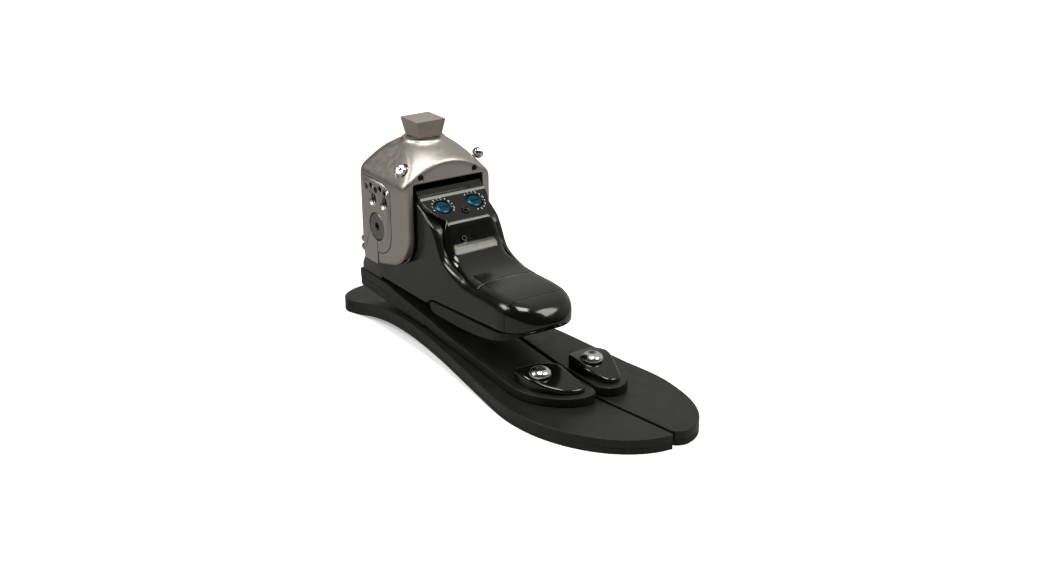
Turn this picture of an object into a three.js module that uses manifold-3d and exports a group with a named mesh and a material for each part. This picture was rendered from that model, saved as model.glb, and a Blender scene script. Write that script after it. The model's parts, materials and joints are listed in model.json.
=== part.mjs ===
// A right prosthetic foot with a hydraulic ankle: a split carbon sole, an upper spring, a hydraulic
// body with two valve knobs, and a yoke with a pyramid that tilts on a pin across the body.
// Millimetres, +Z up, toes toward -Y, +X is the big-toe side. Every piece is a mesh of its own.
import * as THREE from 'three';
import { mergeVertices } from 'three/addons/utils/BufferGeometryUtils.js';
import Module from 'manifold-3d';

const wasm = await Module();
wasm.setup();

// ---------------------------------------------------------------- driving dimensions
const GAP = 0.3; // clearance kept between pieces that touch on the real foot
const SIDES = [{ name: 'lateral', sign: -1 }, { name: 'medial', sign: 1 }];

// sole and springs
const SOLE_LATERAL = -32.2;
const SOLE_MEDIAL = 53;
const TOE_Y = -195.4;
const HEEL_Y = 59.4;
const PAD_THICKNESS = 3.2;
const SOLE_THICKNESS = 4.4;
const SPRING_THICKNESS = 5.4;
const SPRING_HALF_WIDTH = 21.5;
const SPRING_REAR_Y = 40;
const SLOT_WIDTH = 2.2;
const TOE_BOLTS = [{ x: -10, y: -123.5 }, { x: 22.7, y: -124 }];
const TOE_BOLT_RADIUS = 2.5;

// hydraulic body
const BODY_HALF_WIDTH = 21.2;
const BODY_FLOOR = 28.5;
const BODY_TOP_RADIUS = 31.5; // about the ankle pin
const BODY_REAR_Y = 37.5;
const NOSE_Y = -122;
const NOSE_BEND_Y = -100; // where the nose's sides start to curve in
const NOSE_CROWN = 54.9;
const CAP_SEAM_Y = -107;
const CONSOLE_TOP = { y: -27.2, z: 88.1 };
const CONSOLE_TILT = THREE.MathUtils.degToRad(33);
const CONSOLE_LENGTH = 20.5;
const CONSOLE_THICKNESS = 3;
const COVER_END_Y = -77.6; // where the console's cover meets the nose's top
const COVER_END_THICKNESS = 0.9;
const KNOB_RADIUS = 4.4;
const KNOB_WELL = 2.2; // depth of the round recess that each knob sits in
const KNOB_TOP = 0.3;
const KNOB_X = 10;
const KNOB_DOWN = 9.4; // from the console's top edge, along its slope

// ankle pin, crank and cylinder
const PIN = { y: 5.5, z: 64 };
const PIN_RADIUS = 7.8;
const CRANK_RADIUS = 18;
const CYLINDER_Z = PIN.z - CRANK_RADIUS;
const BORE_RADIUS = 8;
const PISTON_HALF_LENGTH = 16;
const CAVITY_HALF_WIDTH = 8.2;

// yoke and pyramid
const CHEEK_INNER = 22;
const CHEEK_OUTER = 28.2;
const YOKE_FRONT = -25;
const YOKE_REAR = 25;
const YOKE_BOTTOM = 42;
const CEILING_Z = 97;
const LINTEL_Z = 94.2;
const ROOF_TOP = 111.5;
const RIM_TOP = 113; // of the raised ring round the pyramid's spigot
const PYRAMID_BASE = 114; // where its four slanted faces begin
const PYRAMID_TOP = 123;
const PYRAMID_SIDE = 18;
const PYRAMID_BASE_SIDE = 14.6;
const SPIGOT_RADIUS = 7;
const PLATE_THICKNESS = 1.6;
const SLIT_WIDTH = 1;

// ---------------------------------------------------------------- materials
function finish(color, roughness, metalness) {
  return new THREE.MeshStandardMaterial({ color, roughness, metalness });
}
const carbon = () => finish(0x2e2e2b, 0.55, 0.1);
const rubber = () => finish(0x141414, 0.9, 0);
const blackAnodised = () => finish(0x191918, 0.3, 0.5);
const glossBlack = () => finish(0x0d0d0d, 0.15, 0.1);
const satinAluminium = () => finish(0xa7a19a, 0.42, 0.9);
const pyramidMetal = () => finish(0x8a7f76, 0.38, 0.9);
const darkSteel = () => finish(0x5a554f, 0.5, 0.8);
const brightSteel = () => finish(0xc9c9c9, 0.15, 1);
const blueAnodised = () => finish(0x1469ad, 0.3, 0.6);
const bronze = () => finish(0x9c7440, 0.4, 0.9);

// ---------------------------------------------------------------- geometry helpers
const v3 = (x, y, z) => new THREE.Vector3(x, y, z);
const v2 = (x, y) => new THREE.Vector2(x, y);
// an outline drawn in (y, z) and extruded along +X, or drawn in (x, z) and extruded along -Y
const ALONG_X = new THREE.Matrix4().makeBasis(v3(0, 1, 0), v3(0, 0, 1), v3(1, 0, 0));
const ALONG_Y = new THREE.Matrix4().makeBasis(v3(1, 0, 0), v3(0, 0, 1), v3(0, -1, 0));

function solidOf(geometry) {
  geometry.deleteAttribute('normal');
  geometry.deleteAttribute('uv');
  const merged = mergeVertices(geometry, 1e-4);
  const vertProperties = new Float32Array(merged.attributes.position.array);
  const triVerts = new Uint32Array(merged.index.array);
  const build = () => new wasm.Manifold(new wasm.Mesh({ numProp: 3, vertProperties, triVerts }));
  const solid = build();
  if (solid.volume() > 0) {
    return solid;
  }
  for (let i = 0; i < triVerts.length; i += 3) {
    [triVerts[i], triVerts[i + 1]] = [triVerts[i + 1], triVerts[i]];
  }
  return build();
}

function geometryOf(solid) {
  const { numProp, vertProperties, triVerts } = solid.getMesh();
  const position = new Float32Array((vertProperties.length / numProp) * 3);
  for (let i = 0; i < position.length / 3; i += 1) {
    position.set(vertProperties.subarray(i * numProp, i * numProp + 3), i * 3);
  }
  const geometry = new THREE.BufferGeometry();
  geometry.setAttribute('position', new THREE.BufferAttribute(position, 3));
  geometry.setIndex(new THREE.BufferAttribute(new Uint32Array(triVerts), 1));
  return geometry;
}

function outline(points) {
  return new THREE.Shape(points.map(([a, b]) => v2(a, b)));
}

// a smooth open line through a few points, sampled evenly
function smooth(points, steps) {
  const curve = new THREE.SplineCurve(points.map(([a, b]) => v2(a, b)));
  return curve.getPoints(steps).map((p) => [p.x, p.y]);
}

// an outline raised from `from` to `to` along the axis that `matrix` gives, with rounded end edges
function prism(shape, from, to, matrix = null, round = 0, roundSteps = 3) {
  const geometry = new THREE.ExtrudeGeometry(shape, {
    depth: to - from - 2 * round,
    bevelEnabled: round > 0,
    bevelThickness: round,
    bevelSize: round,
    bevelOffset: -round,
    bevelSegments: roundSteps,
    curveSegments: 8,
  });
  geometry.translate(0, 0, from + round);
  if (matrix) {
    geometry.applyMatrix4(matrix);
  }
  return solidOf(geometry);
}

// along Y the outline's depth runs toward -Y, so the two limits swap
const prismX = (shape, x0, x1, round, steps) => prism(shape, x0, x1, ALONG_X, round, steps);
const prismY = (shape, y0, y1) => prism(shape, -y1, -y0, ALONG_Y);

function box(x0, x1, y0, y1, z0, z1) {
  const geometry = new THREE.BoxGeometry(x1 - x0, y1 - y0, z1 - z0);
  geometry.translate((x0 + x1) / 2, (y0 + y1) / 2, (z0 + z1) / 2);
  return solidOf(geometry);
}

const AXES = {
  x: new THREE.Quaternion().setFromUnitVectors(v3(0, 1, 0), v3(1, 0, 0)),
  y: new THREE.Quaternion(),
  z: new THREE.Quaternion().setFromUnitVectors(v3(0, 1, 0), v3(0, 0, 1)),
};

// a turned piece: the profile is [radius, height], set at `at` with its height along `axis`
function turned(profile, at, axis, segments = 18) {
  const geometry = new THREE.LatheGeometry(profile.map(([r, h]) => v2(r, h)), segments);
  const turn = axis instanceof THREE.Vector3
    ? new THREE.Quaternion().setFromUnitVectors(v3(0, 1, 0), axis)
    : AXES[axis];
  geometry.applyQuaternion(turn);
  geometry.translate(at.x, at.y, at.z);
  return solidOf(geometry);
}

function rod(radius, from, to, at, axis, segments) {
  return turned([[0, from], [radius, from], [radius, to], [0, to]], at, axis, segments);
}

function tube(inner, outer, from, to, at, axis, segments) {
  const profile = [[inner, from], [outer, from], [outer, to], [inner, to], [inner, from]];
  return turned(profile, at, axis, segments);
}

function hexSocket(acrossCorners, from, to, at, axis) {
  return rod(acrossCorners / 2, from, to, at, axis, 6);
}

function ring(radius, thickness, at, axis) {
  const profile = [];
  const steps = 6;
  for (let i = 0; i <= steps; i += 1) {
    const a = (2 * Math.PI * (i % steps)) / steps;
    profile.push([radius + (thickness / 2) * Math.cos(a), (thickness / 2) * Math.sin(a)]);
  }
  return turned(profile, at, axis, 20);
}

const foot = new THREE.Group();

function add(name, solid, material, parent = foot) {
  const mesh = new THREE.Mesh(geometryOf(solid), material);
  mesh.name = name;
  parent.add(mesh);
  return mesh;
}

// ---------------------------------------------------------------- sole, springs and toe bosses
// heights of the carbon sole's underside along the foot: heel and forefoot flat, the arch raised
const ARCH = [
  [HEEL_Y + 6, 0], [48, 0], [36, 0.3], [20, 3.4], [5, 5.7], [-10, 6.5], [-30, 6], [-60, 3.9],
  [-90, 1.7], [-118, 0], [-135, 0], [TOE_Y - 6, 0],
];
const ARCH_STEPS = 44;

function leafProfile(under, thickness) {
  const top = under.map(([y, z]) => [y, z + thickness]).reverse();
  return outline([...under, ...top]);
}

function soleOutline() {
  const lateral = [
    [-6, HEEL_Y], [-17, 57.2], [-25.5, 52], [-28.6, 45], [-26.6, 37], [-24.5, 24], [-24.1, 0],
    [-24.3, -28], [-25.6, -55], [-28.5, -86], [-31.4, -114], [SOLE_LATERAL, -130], [-30, -147],
    [-24.3, -163], [-15.5, -177], [-5, -187], [6, -193], [16.4, TOE_Y],
  ];
  const medial = [
    [18.6, TOE_Y + 3], [21.4, -194.4], [25.5, TOE_Y], [33, -193.2], [40, -187.5], [46, -178],
    [50.6, -164], [SOLE_MEDIAL, -144], [50.9, -122], [46.8, -96], [41.8, -70], [33.5, -42], [27, -14],
    [24.3, 8], [25, 30], [26.6, 45], [22, 54], [13, 58.4], [4, HEEL_Y],
  ];
  return outline([...smooth(lateral, 46), ...smooth(medial, 50)]);
}

// the split between the big-toe half and the outer half of the sole
function soleSlot() {
  const lean = new THREE.Matrix4().makeRotationZ(0.128);
  const slot = new THREE.BoxGeometry(SLOT_WIDTH, 102, 60);
  slot.translate(0, -51, 0);
  slot.applyMatrix4(lean);
  slot.translate(5.3, -97, 0);
  const end = new THREE.CylinderGeometry(SLOT_WIDTH, SLOT_WIDTH, 60, 16);
  end.rotateX(Math.PI / 2);
  end.translate(5.3, -97, 0);
  return solidOf(slot).add(solidOf(end));
}

function toeBoltHoles(radius) {
  return TOE_BOLTS.map(({ x, y }) => rod(radius, -5, 40, v3(x, y, 0), 'z'));
}

function cutAll(solid, cutters) {
  return cutters.reduce((rest, cutter) => rest.subtract(cutter), solid);
}

function solePieces() {
  const under = smooth(ARCH, ARCH_STEPS).map(([y, z]) => [y, Math.max(z, 0)]);
  const plan = prism(soleOutline(), -2, 40);
  const pad = prismX(leafProfile(under, PAD_THICKNESS), -60, 60).intersect(plan);
  add('sole_pad', pad.subtract(soleSlot()), rubber());

  const plateUnder = under.map(([y, z]) => [y, z + PAD_THICKNESS + GAP]);
  const plate = prismX(leafProfile(plateUnder, SOLE_THICKNESS), -60, 60).intersect(plan);
  const nutSeats = TOE_BOLTS.map(({ x, y }) => rod(6.3, -5, PAD_THICKNESS + 1.8, v3(x, y, 0), 'z'));
  add('sole_plate', cutAll(plate, [soleSlot(), ...toeBoltHoles(4), ...nutSeats]), carbon());
}

const SPRING_UNDER = [
  [SPRING_REAR_Y, 22.4], [14, 22.3], [2, 20.7], [-15, 18.4], [-35, 15.6], [-55, 12.7],
  [-75, 11.1], [-95, 9.7], [-118, 8.3], [-150, 8.2],
];
const SPRING_TIP_THINNING = 0.7;
const CORNER = 0.8;
const FORK = { x: 11.4, rear: -74 }; // the split between the spring's two branches

function springOutline() {
  const lateral = [
    [-SPRING_HALF_WIDTH, -60], [-22.3, -95], [-22.8, -113], [-20.9, -127], [-15.5, -137],
    [-7, -145], [1.4, -147.6], [7.6, -146.4], [10.4, -140],
  ];
  const medial = [
    [12.6, -140.5], [16, -146], [21.5, -147.8], [28.5, -145.2], [34.5, -138], [39, -125],
    [39.6, -108], [35.2, -82], [27, -55], [SPRING_HALF_WIDTH, -30],
  ];
  return outline([
    [SPRING_HALF_WIDTH - CORNER, SPRING_REAR_Y],
    [-SPRING_HALF_WIDTH + CORNER, SPRING_REAR_Y],
    [-SPRING_HALF_WIDTH, SPRING_REAR_Y - CORNER],
    ...smooth(lateral, 28),
    ...smooth(medial, 28),
    [SPRING_HALF_WIDTH, SPRING_REAR_Y - CORNER],
  ]);
}

const BODY_BOLTS = [
  { name: 'rear_lateral', x: -13, y: 30 },
  { name: 'rear_medial', x: 13, y: 30 },
  { name: 'front_lateral', x: -13, y: 8 },
  { name: 'front_medial', x: 13, y: 8 },
];
const BODY_BOLT_SHANK = 2;
const BODY_BOLT_TOP = 35;

// side view of the upper spring, its top face raised by `raise`
function springProfile(raise) {
  const under = smooth(SPRING_UNDER, 36);
  const thin = (y) => SPRING_TIP_THINNING * THREE.MathUtils.smoothstep(-y, 60, 140);
  const top = under.map(([y, z]) => [
    y, Math.min(z + SPRING_THICKNESS - thin(y), BODY_FLOOR - GAP) + raise,
  ]);
  return outline([...under, ...top.reverse()]);
}

function springPieces() {
  const halfSlot = SLOT_WIDTH / 2;
  const fork = box(FORK.x - halfSlot, FORK.x + halfSlot, -160, FORK.rear, 0, 40)
    .add(rod(SLOT_WIDTH, 0, 40, v3(FORK.x, FORK.rear, 0), 'z', 12));
  const boltHoles = BODY_BOLTS.map(({ x, y }) => rod(BODY_BOLT_SHANK + GAP, 0, 40, v3(x, y, 0), 'z'));
  const spring = prismX(springProfile(0), -60, 60).intersect(prism(springOutline(), 0, 40));
  add('upper_spring', cutAll(spring, [fork, ...toeBoltHoles(2.8), ...boltHoles]), carbon());

  const wedgeTop = smooth(SPRING_UNDER, 60).map(([y, z]) => [y, z - GAP]).filter(([y]) => y > -30);
  const wedgeRearZ = 17.7;
  const wedgeShape = outline([[SPRING_REAR_Y, wedgeRearZ], ...wedgeTop, [-30, 15.6]]);
  const wedgePlan = outline([
    [20.5, SPRING_REAR_Y], [-20.5, SPRING_REAR_Y], [-21.3, SPRING_REAR_Y - CORNER], [-21.3, -31],
    [21.3, -31], [21.3, SPRING_REAR_Y - CORNER],
  ]);
  const headSeats = BODY_BOLTS.map(({ x, y }) => rod(4.1, 0, 40, v3(x, y, 0), 'z'));
  const wedge = prismX(wedgeShape, -60, 60).intersect(prism(wedgePlan, 0, 40));
  add('heel_wedge', cutAll(wedge, headSeats), carbon());

  for (const { name, x, y } of BODY_BOLTS) {
    const headTop = name.startsWith('rear') ? 22 : 21;
    const head = rod(3.8, headTop - 3.6, headTop, v3(x, y, 0), 'z');
    const shank = rod(BODY_BOLT_SHANK, headTop - 0.1, BODY_BOLT_TOP, v3(x, y, 0), 'z', 12);
    const socket = hexSocket(3.6, headTop - 4, headTop - 1.6, v3(x, y, 0), 'z');
    add(`body_bolt_${name}`, head.add(shank).subtract(socket), brightSteel());
  }
}

// outlines of the two toe bosses about their bolts, from the rear round the lateral side
const LATERAL_BOSS = [
  [0, 12.6], [-7, 12], [-8.6, 7], [-7.6, -2], [-3.6, -10.5], [3, -17], [9.5, -19.4],
  [14.2, -18.6], [15.4, -14], [15, -2], [14.2, 4.4], [9, 9.8], [0, 12.6],
];
const MEDIAL_BOSS = [
  [0, 12.6], [-6, 11.6], [-8.2, 7], [-8.4, -4.3], [-6.6, -12.1], [-3.8, -18], [1, -19.3],
  [5.2, -16.8], [8.6, -9.6], [11.6, -2], [12.8, 5], [9, 11], [0, 12.6],
];

// a low teardrop cap under each toe bolt, highest at the rear and thinning toward the toe
function toeBoss({ x, y }, rim) {
  const plan = outline(smooth(rim, 34).slice(0, -1).map(([px, py]) => [x + px, y + py]));
  const base = SPRING_TOE_TOP + GAP;
  const hump = outline([
    [y + 16, base], [y + 16, base + 3.2], ...smooth([[y + 11, base + 4.8], [y + 2, base + 6.4],
      [y - 8, base + 4.6], [y - 20, base + 1.4]], 12), [y - 22, base],
  ]);
  return prismX(hump, -60, 60).intersect(prism(plan, base, base + 20))
    .subtract(prismX(springProfile(GAP), -60, 60));
}
const SPRING_TOE_TOP = 8.2 + SPRING_THICKNESS - SPRING_TIP_THINNING;
const TOE_HEAD_BASE = SPRING_TOE_TOP + GAP + 5.2;

function toePieces() {
  [LATERAL_BOSS, MEDIAL_BOSS].forEach((rim, side) => {
    const { name } = SIDES[side];
    const { x, y } = TOE_BOLTS[side];
    const at = v3(x, y, 0);
    const seat = rod(6.3, TOE_HEAD_BASE, TOE_HEAD_BASE + 20, at, 'z');
    const boss = cutAll(toeBoss(TOE_BOLTS[side], rim), [seat, rod(2.8, 0, 40, at, 'z')]);
    add(`toe_boss_${name}`, boss, glossBlack());

    const headBase = TOE_HEAD_BASE + GAP;
    const headRadius = 5.9;
    const dome = [[0, headBase], [headRadius, headBase], [headRadius, headBase + 0.8]];
    const domeSteps = 5;
    for (let i = 1; i <= domeSteps; i += 1) {
      const a = (i / domeSteps) * (Math.PI / 3);
      dome.push([headRadius * Math.cos(a), headBase + 0.8 + 3.2 * Math.sin(a)]);
    }
    dome.push([0, dome[dome.length - 1][1]]);
    const shank = rod(TOE_BOLT_RADIUS, PAD_THICKNESS + 2.4, headBase + 0.2, at, 'z', 12);
    const socket = hexSocket(4.6, headBase + 1.2, headBase + 10, at, 'z');
    const bolt = turned(dome, at, 'z', 24).add(shank).subtract(socket);
    add(`toe_bolt_${name}`, bolt, brightSteel());

    const flange = rod(6, PAD_THICKNESS + GAP, PAD_THICKNESS + 1.5, at, 'z');
    const barrel = rod(3.7, PAD_THICKNESS + 1, PAD_THICKNESS + 4.6, at, 'z');
    const thread = rod(TOE_BOLT_RADIUS + GAP, PAD_THICKNESS + 2, PAD_THICKNESS + 8, at, 'z', 12);
    add(`toe_nut_${name}`, flange.add(barrel).subtract(thread), darkSteel());
  });
}

// ---------------------------------------------------------------- hydraulic body
const consoleDown = v3(0, -Math.cos(CONSOLE_TILT), -Math.sin(CONSOLE_TILT));
const consoleUp = v3(0, -Math.sin(CONSOLE_TILT), Math.cos(CONSOLE_TILT));
// a point on the console's plane, `down` along its slope and `out` along its normal
function onConsole(x, down, out = 0) {
  return v3(x, CONSOLE_TOP.y, CONSOLE_TOP.z)
    .addScaledVector(consoleDown, down)
    .addScaledVector(consoleUp, out);
}
// outlines drawn as (x, -down) and raised along the console's normal
const CONSOLE_FRAME = new THREE.Matrix4()
  .makeBasis(v3(1, 0, 0), consoleDown.clone().negate(), consoleUp)
  .setPosition(v3(0, CONSOLE_TOP.y, CONSOLE_TOP.z));

// the body's side view, from the rear bottom corner round the top to the nose
function bodySide() {
  const arc = [];
  const arcSteps = 8;
  const rearAngle = THREE.MathUtils.degToRad(56);
  const frontAngle = THREE.MathUtils.degToRad(128);
  for (let i = 0; i <= arcSteps; i += 1) {
    const a = THREE.MathUtils.lerp(rearAngle, frontAngle, i / arcSteps);
    arc.push([PIN.y + BODY_TOP_RADIUS * Math.cos(a), PIN.z + BODY_TOP_RADIUS * Math.sin(a)]);
  }
  const underConsole = [onConsole(0, 2, -3.3), onConsole(0, CONSOLE_LENGTH - 2.6, -3.3)];
  const front = smooth([
    ...underConsole.slice(1).map((p) => [p.y, p.z]), [-46, 66.5], [-50, 60], [-57, 55.5], [-68, 53],
  ], 12);
  return outline([
    [arc[0][0], BODY_FLOOR], ...arc, [underConsole[0].y, underConsole[0].z], ...front,
    [-68, 36], [-38, 32.6],
  ]);
}

// the rounded nose: a side view, a domed cross-section and a blunt plan, all intersected
function noseBlock() {
  const side = outline([
    [-60, 34.4], ...smooth([[-104, 37], [-114, 38.4], [-120, 41.8], [NOSE_Y, 46], [-119.4, 49.6],
      [-112, 52.5], [-98, 54.4], [-72, NOSE_CROWN]], 20), [-60, NOSE_CROWN],
  ]);
  const crown = [];
  const crownSteps = 14;
  const wallZ = 41.5;
  for (let i = 0; i <= crownSteps; i += 1) {
    const a = (Math.PI * i) / crownSteps;
    const bulge = Math.sign(Math.cos(a)) * Math.abs(Math.cos(a)) ** 0.7;
    crown.push([BODY_HALF_WIDTH * bulge, wallZ + (NOSE_CROWN - wallZ) * Math.sin(a) ** 0.85]);
  }
  const section = outline([...crown, [-BODY_HALF_WIDTH, 30], [BODY_HALF_WIDTH, 30]]);
  const tip = [];
  const tipSteps = 14;
  for (let i = 0; i <= tipSteps; i += 1) {
    const a = Math.PI + (Math.PI * i) / tipSteps;
    const blunt = Math.sign(Math.cos(a)) * Math.abs(Math.cos(a)) ** 0.9;
    tip.push([BODY_HALF_WIDTH * blunt, NOSE_BEND_Y + (NOSE_BEND_Y - NOSE_Y) * Math.sin(a)]);
  }
  const plan = outline([...tip, [BODY_HALF_WIDTH, -58], [-BODY_HALF_WIDTH, -58]]);
  return prismX(side, -30, 30).intersect(prismY(section, -130, -58)).intersect(prism(plan, 20, 70));
}

const RESERVOIR = { x: 0, z: 46.5, radius: 6.2, rear: -74 };

// the space that the crank arm swings in, and the bores that open into it
function bodyHollows() {
  const pinAt = v3(0, PIN.y, PIN.z);
  const boreAt = v3(0, 0, CYLINDER_Z);
  const hollows = [
    rod(PIN_RADIUS + 2.1, -30, 30, pinAt, 'x', 24),
    rod(CRANK_HUB_RADIUS + 1, -CAVITY_HALF_WIDTH, CAVITY_HALF_WIDTH, pinAt, 'x', 24),
    box(-CAVITY_HALF_WIDTH, CAVITY_HALF_WIDTH, PIN.y - 10.5, PIN.y + 10.5, CYLINDER_Z, PIN.z),
    rod(BORE_RADIUS, -22, 50, boreAt, 'y', 24),
    rod(RESERVOIR.radius + GAP, -140, RESERVOIR.rear, v3(0, 0, RESERVOIR.z), 'y'),
  ];
  for (const { sign } of SIDES) {
    hollows.push(rod(11.3, sign * 16, sign * 30, pinAt, 'x', 24));
    const spindle = onConsole(sign * KNOB_X, KNOB_DOWN);
    hollows.push(rod(2.9, -17, 10, spindle, consoleUp));
  }
  hollows.push(rod(1.9, -9, 10, onConsole(PLUG.x, PLUG.down), consoleUp, 14));
  hollows.push(rod(1.9, -9, 10, BLEED.at, BLEED.out, 16));
  for (const { x, y } of BODY_BOLTS) {
    hollows.push(rod(BODY_BOLT_SHANK + GAP, 0, BODY_BOLT_TOP + 1, v3(x, y, 0), 'z', 12));
  }
  for (const y of COVER_SCREW_Y) {
    hollows.push(rod(1.8, 0, COVER_SCREW_TOP + 0.5, v3(0, y, 0), 'z', 12));
  }
  hollows.push(rod(1.8, 0, 60, v3(0, CAP_SCREW_Y, 0), 'z', 12).intersect(box(-9, 9, -120, 0, 0, 44)));
  return hollows;
}
const BLEED = { at: v3(-6.3, -49.4, 68.7), out: v3(0, -0.86, 0.51) };
const PLUG = { x: 1.3, down: 14.6 };
const COVER_SCREW_Y = [-48, -92];
const CAP_SCREW_Y = -101.5;

// the plate under the body's front, which closes the oil galleries
function manifoldCover() {
  const side = outline([
    [-36.2, 30.4], ...smooth([[-38.4, 32], [-42, 32.6], [-70, 34.3], [-104, 36.4], [-112.5, 37.3]], 12),
    ...smooth([[-113, 36.3], [-104, 32.4], [-85, 28.6], [-65, 26.8], [-42, 26.4]], 12), [-38, 27.4],
  ]);
  const tip = [];
  const tipSteps = 10;
  for (let i = 0; i <= tipSteps; i += 1) {
    const a = Math.PI + (Math.PI * i) / tipSteps;
    tip.push([(BODY_HALF_WIDTH - 0.4) * Math.cos(a), -98 + 15 * Math.sin(a)]);
  }
  const plan = outline([...tip, [BODY_HALF_WIDTH - 0.4, -30], [-BODY_HALF_WIDTH + 0.4, -30]]);
  return prismX(side, -30, 30, 0).intersect(prism(plan, 10, 60));
}

// the cover over the valves: a sloping console, the wall below it and the cove down to the nose
function consoleCover() {
  const rim = [
    [-20.8, 0], [-20.2, -5], [-19, -9.4], [-16.4, -14.4], [-13.2, -18.4], [-12.7, -CONSOLE_LENGTH],
  ];
  const left = smooth(rim, 12);
  const right = left.map(([x, d]) => [-x, d]).reverse();
  const plate = prism(outline([...left, ...right]), -CONSOLE_THICKNESS, 0, CONSOLE_FRAME);
  const lip = onConsole(0, CONSOLE_LENGTH);
  const inner = [onConsole(0, CONSOLE_LENGTH - 6, -CONSOLE_THICKNESS), onConsole(0, CONSOLE_LENGTH - 6, 0)];
  const outside = smooth([
    [lip.y, lip.z], [-46, 74.8], [-48.6, 70.4], [-51, 66], [-54.2, 61.6], [-60, 58.2], [-68, 55.8],
    [COVER_END_Y, NOSE_CROWN],
  ], 16);
  const strip = outline([
    [inner[0].y, inner[0].z], [inner[1].y, inner[1].z], ...outside,
    [COVER_END_Y, NOSE_CROWN - COVER_END_THICKNESS], [-72.6, 53.8], [-70, 52], [-58, 52], [-44, 62],
  ]);
  const wall = prismX(strip, -12.7, 12.7);
  return plate.add(wall).add(consoleBack());
}

// the curved wall that rises behind the knobs, low enough to pass under the yoke's lintel
function consoleBack() {
  const foot = onConsole(0, 2.8);
  const under = -CONSOLE_THICKNESS;
  const underside = [onConsole(0, -2, under), onConsole(0, 0, under), onConsole(0, 2.8, -1)];
  const side = outline([
    ...smooth([[foot.y, foot.z], [-27.6, 88], [-26.4, 89.2], [-25.3, 90.2]], 6),
    [-24.4, 91.1],
    [-23.8, 91.2],
    ...underside.map((p) => [p.y, p.z]),
  ]);
  return prismX(side, -20.4, 20.4);
}

function bodyPieces() {
  const block = prismX(bodySide(), -BODY_HALF_WIDTH, BODY_HALF_WIDTH, 6, 4);
  const base = prismX(outline([
    [BODY_REAR_Y, BODY_FLOOR], [BODY_REAR_Y, 31.5], [34, 37], [28.5, 41], [-60, 41], [-68, 36],
    [-38, 32.6],
    [-33, BODY_FLOOR],
  ]), -BODY_HALF_WIDTH, BODY_HALF_WIDTH, 1.5, 2);
  const rearBoss = rod(11.6, 15, BODY_REAR_Y, v3(0, 0, CYLINDER_Z), 'y', 24);
  const nose = noseBlock();
  const rearOfSeam = box(-40, 40, CAP_SEAM_Y + GAP / 2, 60, 0, 130);
  const cover = consoleCover();
  const coverSpace = consoleCoverSpace();
  const pocket = manifoldCoverSpace();
  const body = block.add(base).add(rearBoss).add(nose).intersect(rearOfSeam).subtract(coverSpace)
    .subtract(pocket);
  add('hydraulic_body', cutAll(body, bodyHollows()), blackAnodised());

  const consoleHoles = SIDES.map(({ sign }) => (
    rod(2.3, -10, 10, onConsole(sign * KNOB_X, KNOB_DOWN), consoleUp, 14)));
  consoleHoles.push(...SIDES.map(({ sign }) => (
    rod(KNOB_RADIUS + 0.4, -KNOB_WELL, 10, onConsole(sign * KNOB_X, KNOB_DOWN), consoleUp, 24))));
  consoleHoles.push(rod(1.9, -10, 10, onConsole(PLUG.x, PLUG.down), consoleUp, 14));
  consoleHoles.push(rod(1.9, -20, 10, BLEED.at, BLEED.out, 16));
  add('console_cover', cutAll(cover, consoleHoles), glossBlack());

  const screwHoles = COVER_SCREW_Y.map((y) => rod(1.8, 0, 60, v3(0, y, 0), 'z', 12));
  const screwSeats = COVER_SCREW_Y.map((y) => rod(3.4, 0, COVER_HEAD_TOP[y] + GAP, v3(0, y, 0), 'z'));
  const capHole = rod(3.4, 0, 60, v3(0, CAP_SCREW_Y, 0), 'z');
  add('manifold_cover', cutAll(manifoldCover(), [...screwHoles, ...screwSeats, capHole]), carbon());
  COVER_SCREW_Y.forEach((y, i) => {
    const top = COVER_HEAD_TOP[y];
    const head = rod(3, top - 2, top, v3(0, y, 0), 'z');
    const shank = rod(1.5, top - 0.1, COVER_SCREW_TOP, v3(0, y, 0), 'z', 12);
    const socket = hexSocket(2.8, top - 3, top - 0.9, v3(0, y, 0), 'z');
    add(`manifold_screw_${['rear', 'front'][i]}`, head.add(shank).subtract(socket), brightSteel());
  });
  nosePieces(nose);
}
const COVER_SCREW_TOP = 39;
const COVER_HEAD_TOP = { '-48': 29.6, '-92': 31.8 };

// the same outlines grown by the gap, to cut the space that each cover sits in
function consoleCoverSpace() {
  const under = onConsole(0, CONSOLE_LENGTH, -CONSOLE_THICKNESS - GAP);
  const top = onConsole(0, -4, -CONSOLE_THICKNESS - GAP);
  const shape = outline([
    [top.y, top.z], [top.y - 20, top.z + 20], [-90, 90], [-90, 57], [COVER_END_Y - GAP, 57],
    [COVER_END_Y - GAP, NOSE_CROWN - COVER_END_THICKNESS - GAP], [-73, 53.5], [-70.2, 51.7],
    [-57.9, 51.7], [-43.7, 61.8], [under.y + 4.4, under.z],
  ]);
  const strip = prismX(shape, -12.7 - GAP, 12.7 + GAP);
  const end = -CONSOLE_LENGTH - 1;
  const plan = outline([[-30, 4], [30, 4], [30, end], [-30, end]]);
  const slab = prism(plan, -CONSOLE_THICKNESS - GAP, 12, CONSOLE_FRAME);
  return strip.add(slab);
}

function manifoldCoverSpace() {
  const shape = outline([
    [-35.9, 30.2], [-38.2, 32.4], [-42, 32.95], [-70, 34.65], [-104, 36.75], [-113, 37.6],
    [-113, 20], [-35.9, 20],
  ]);
  return prismX(shape, -30, 30);
}

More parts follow.
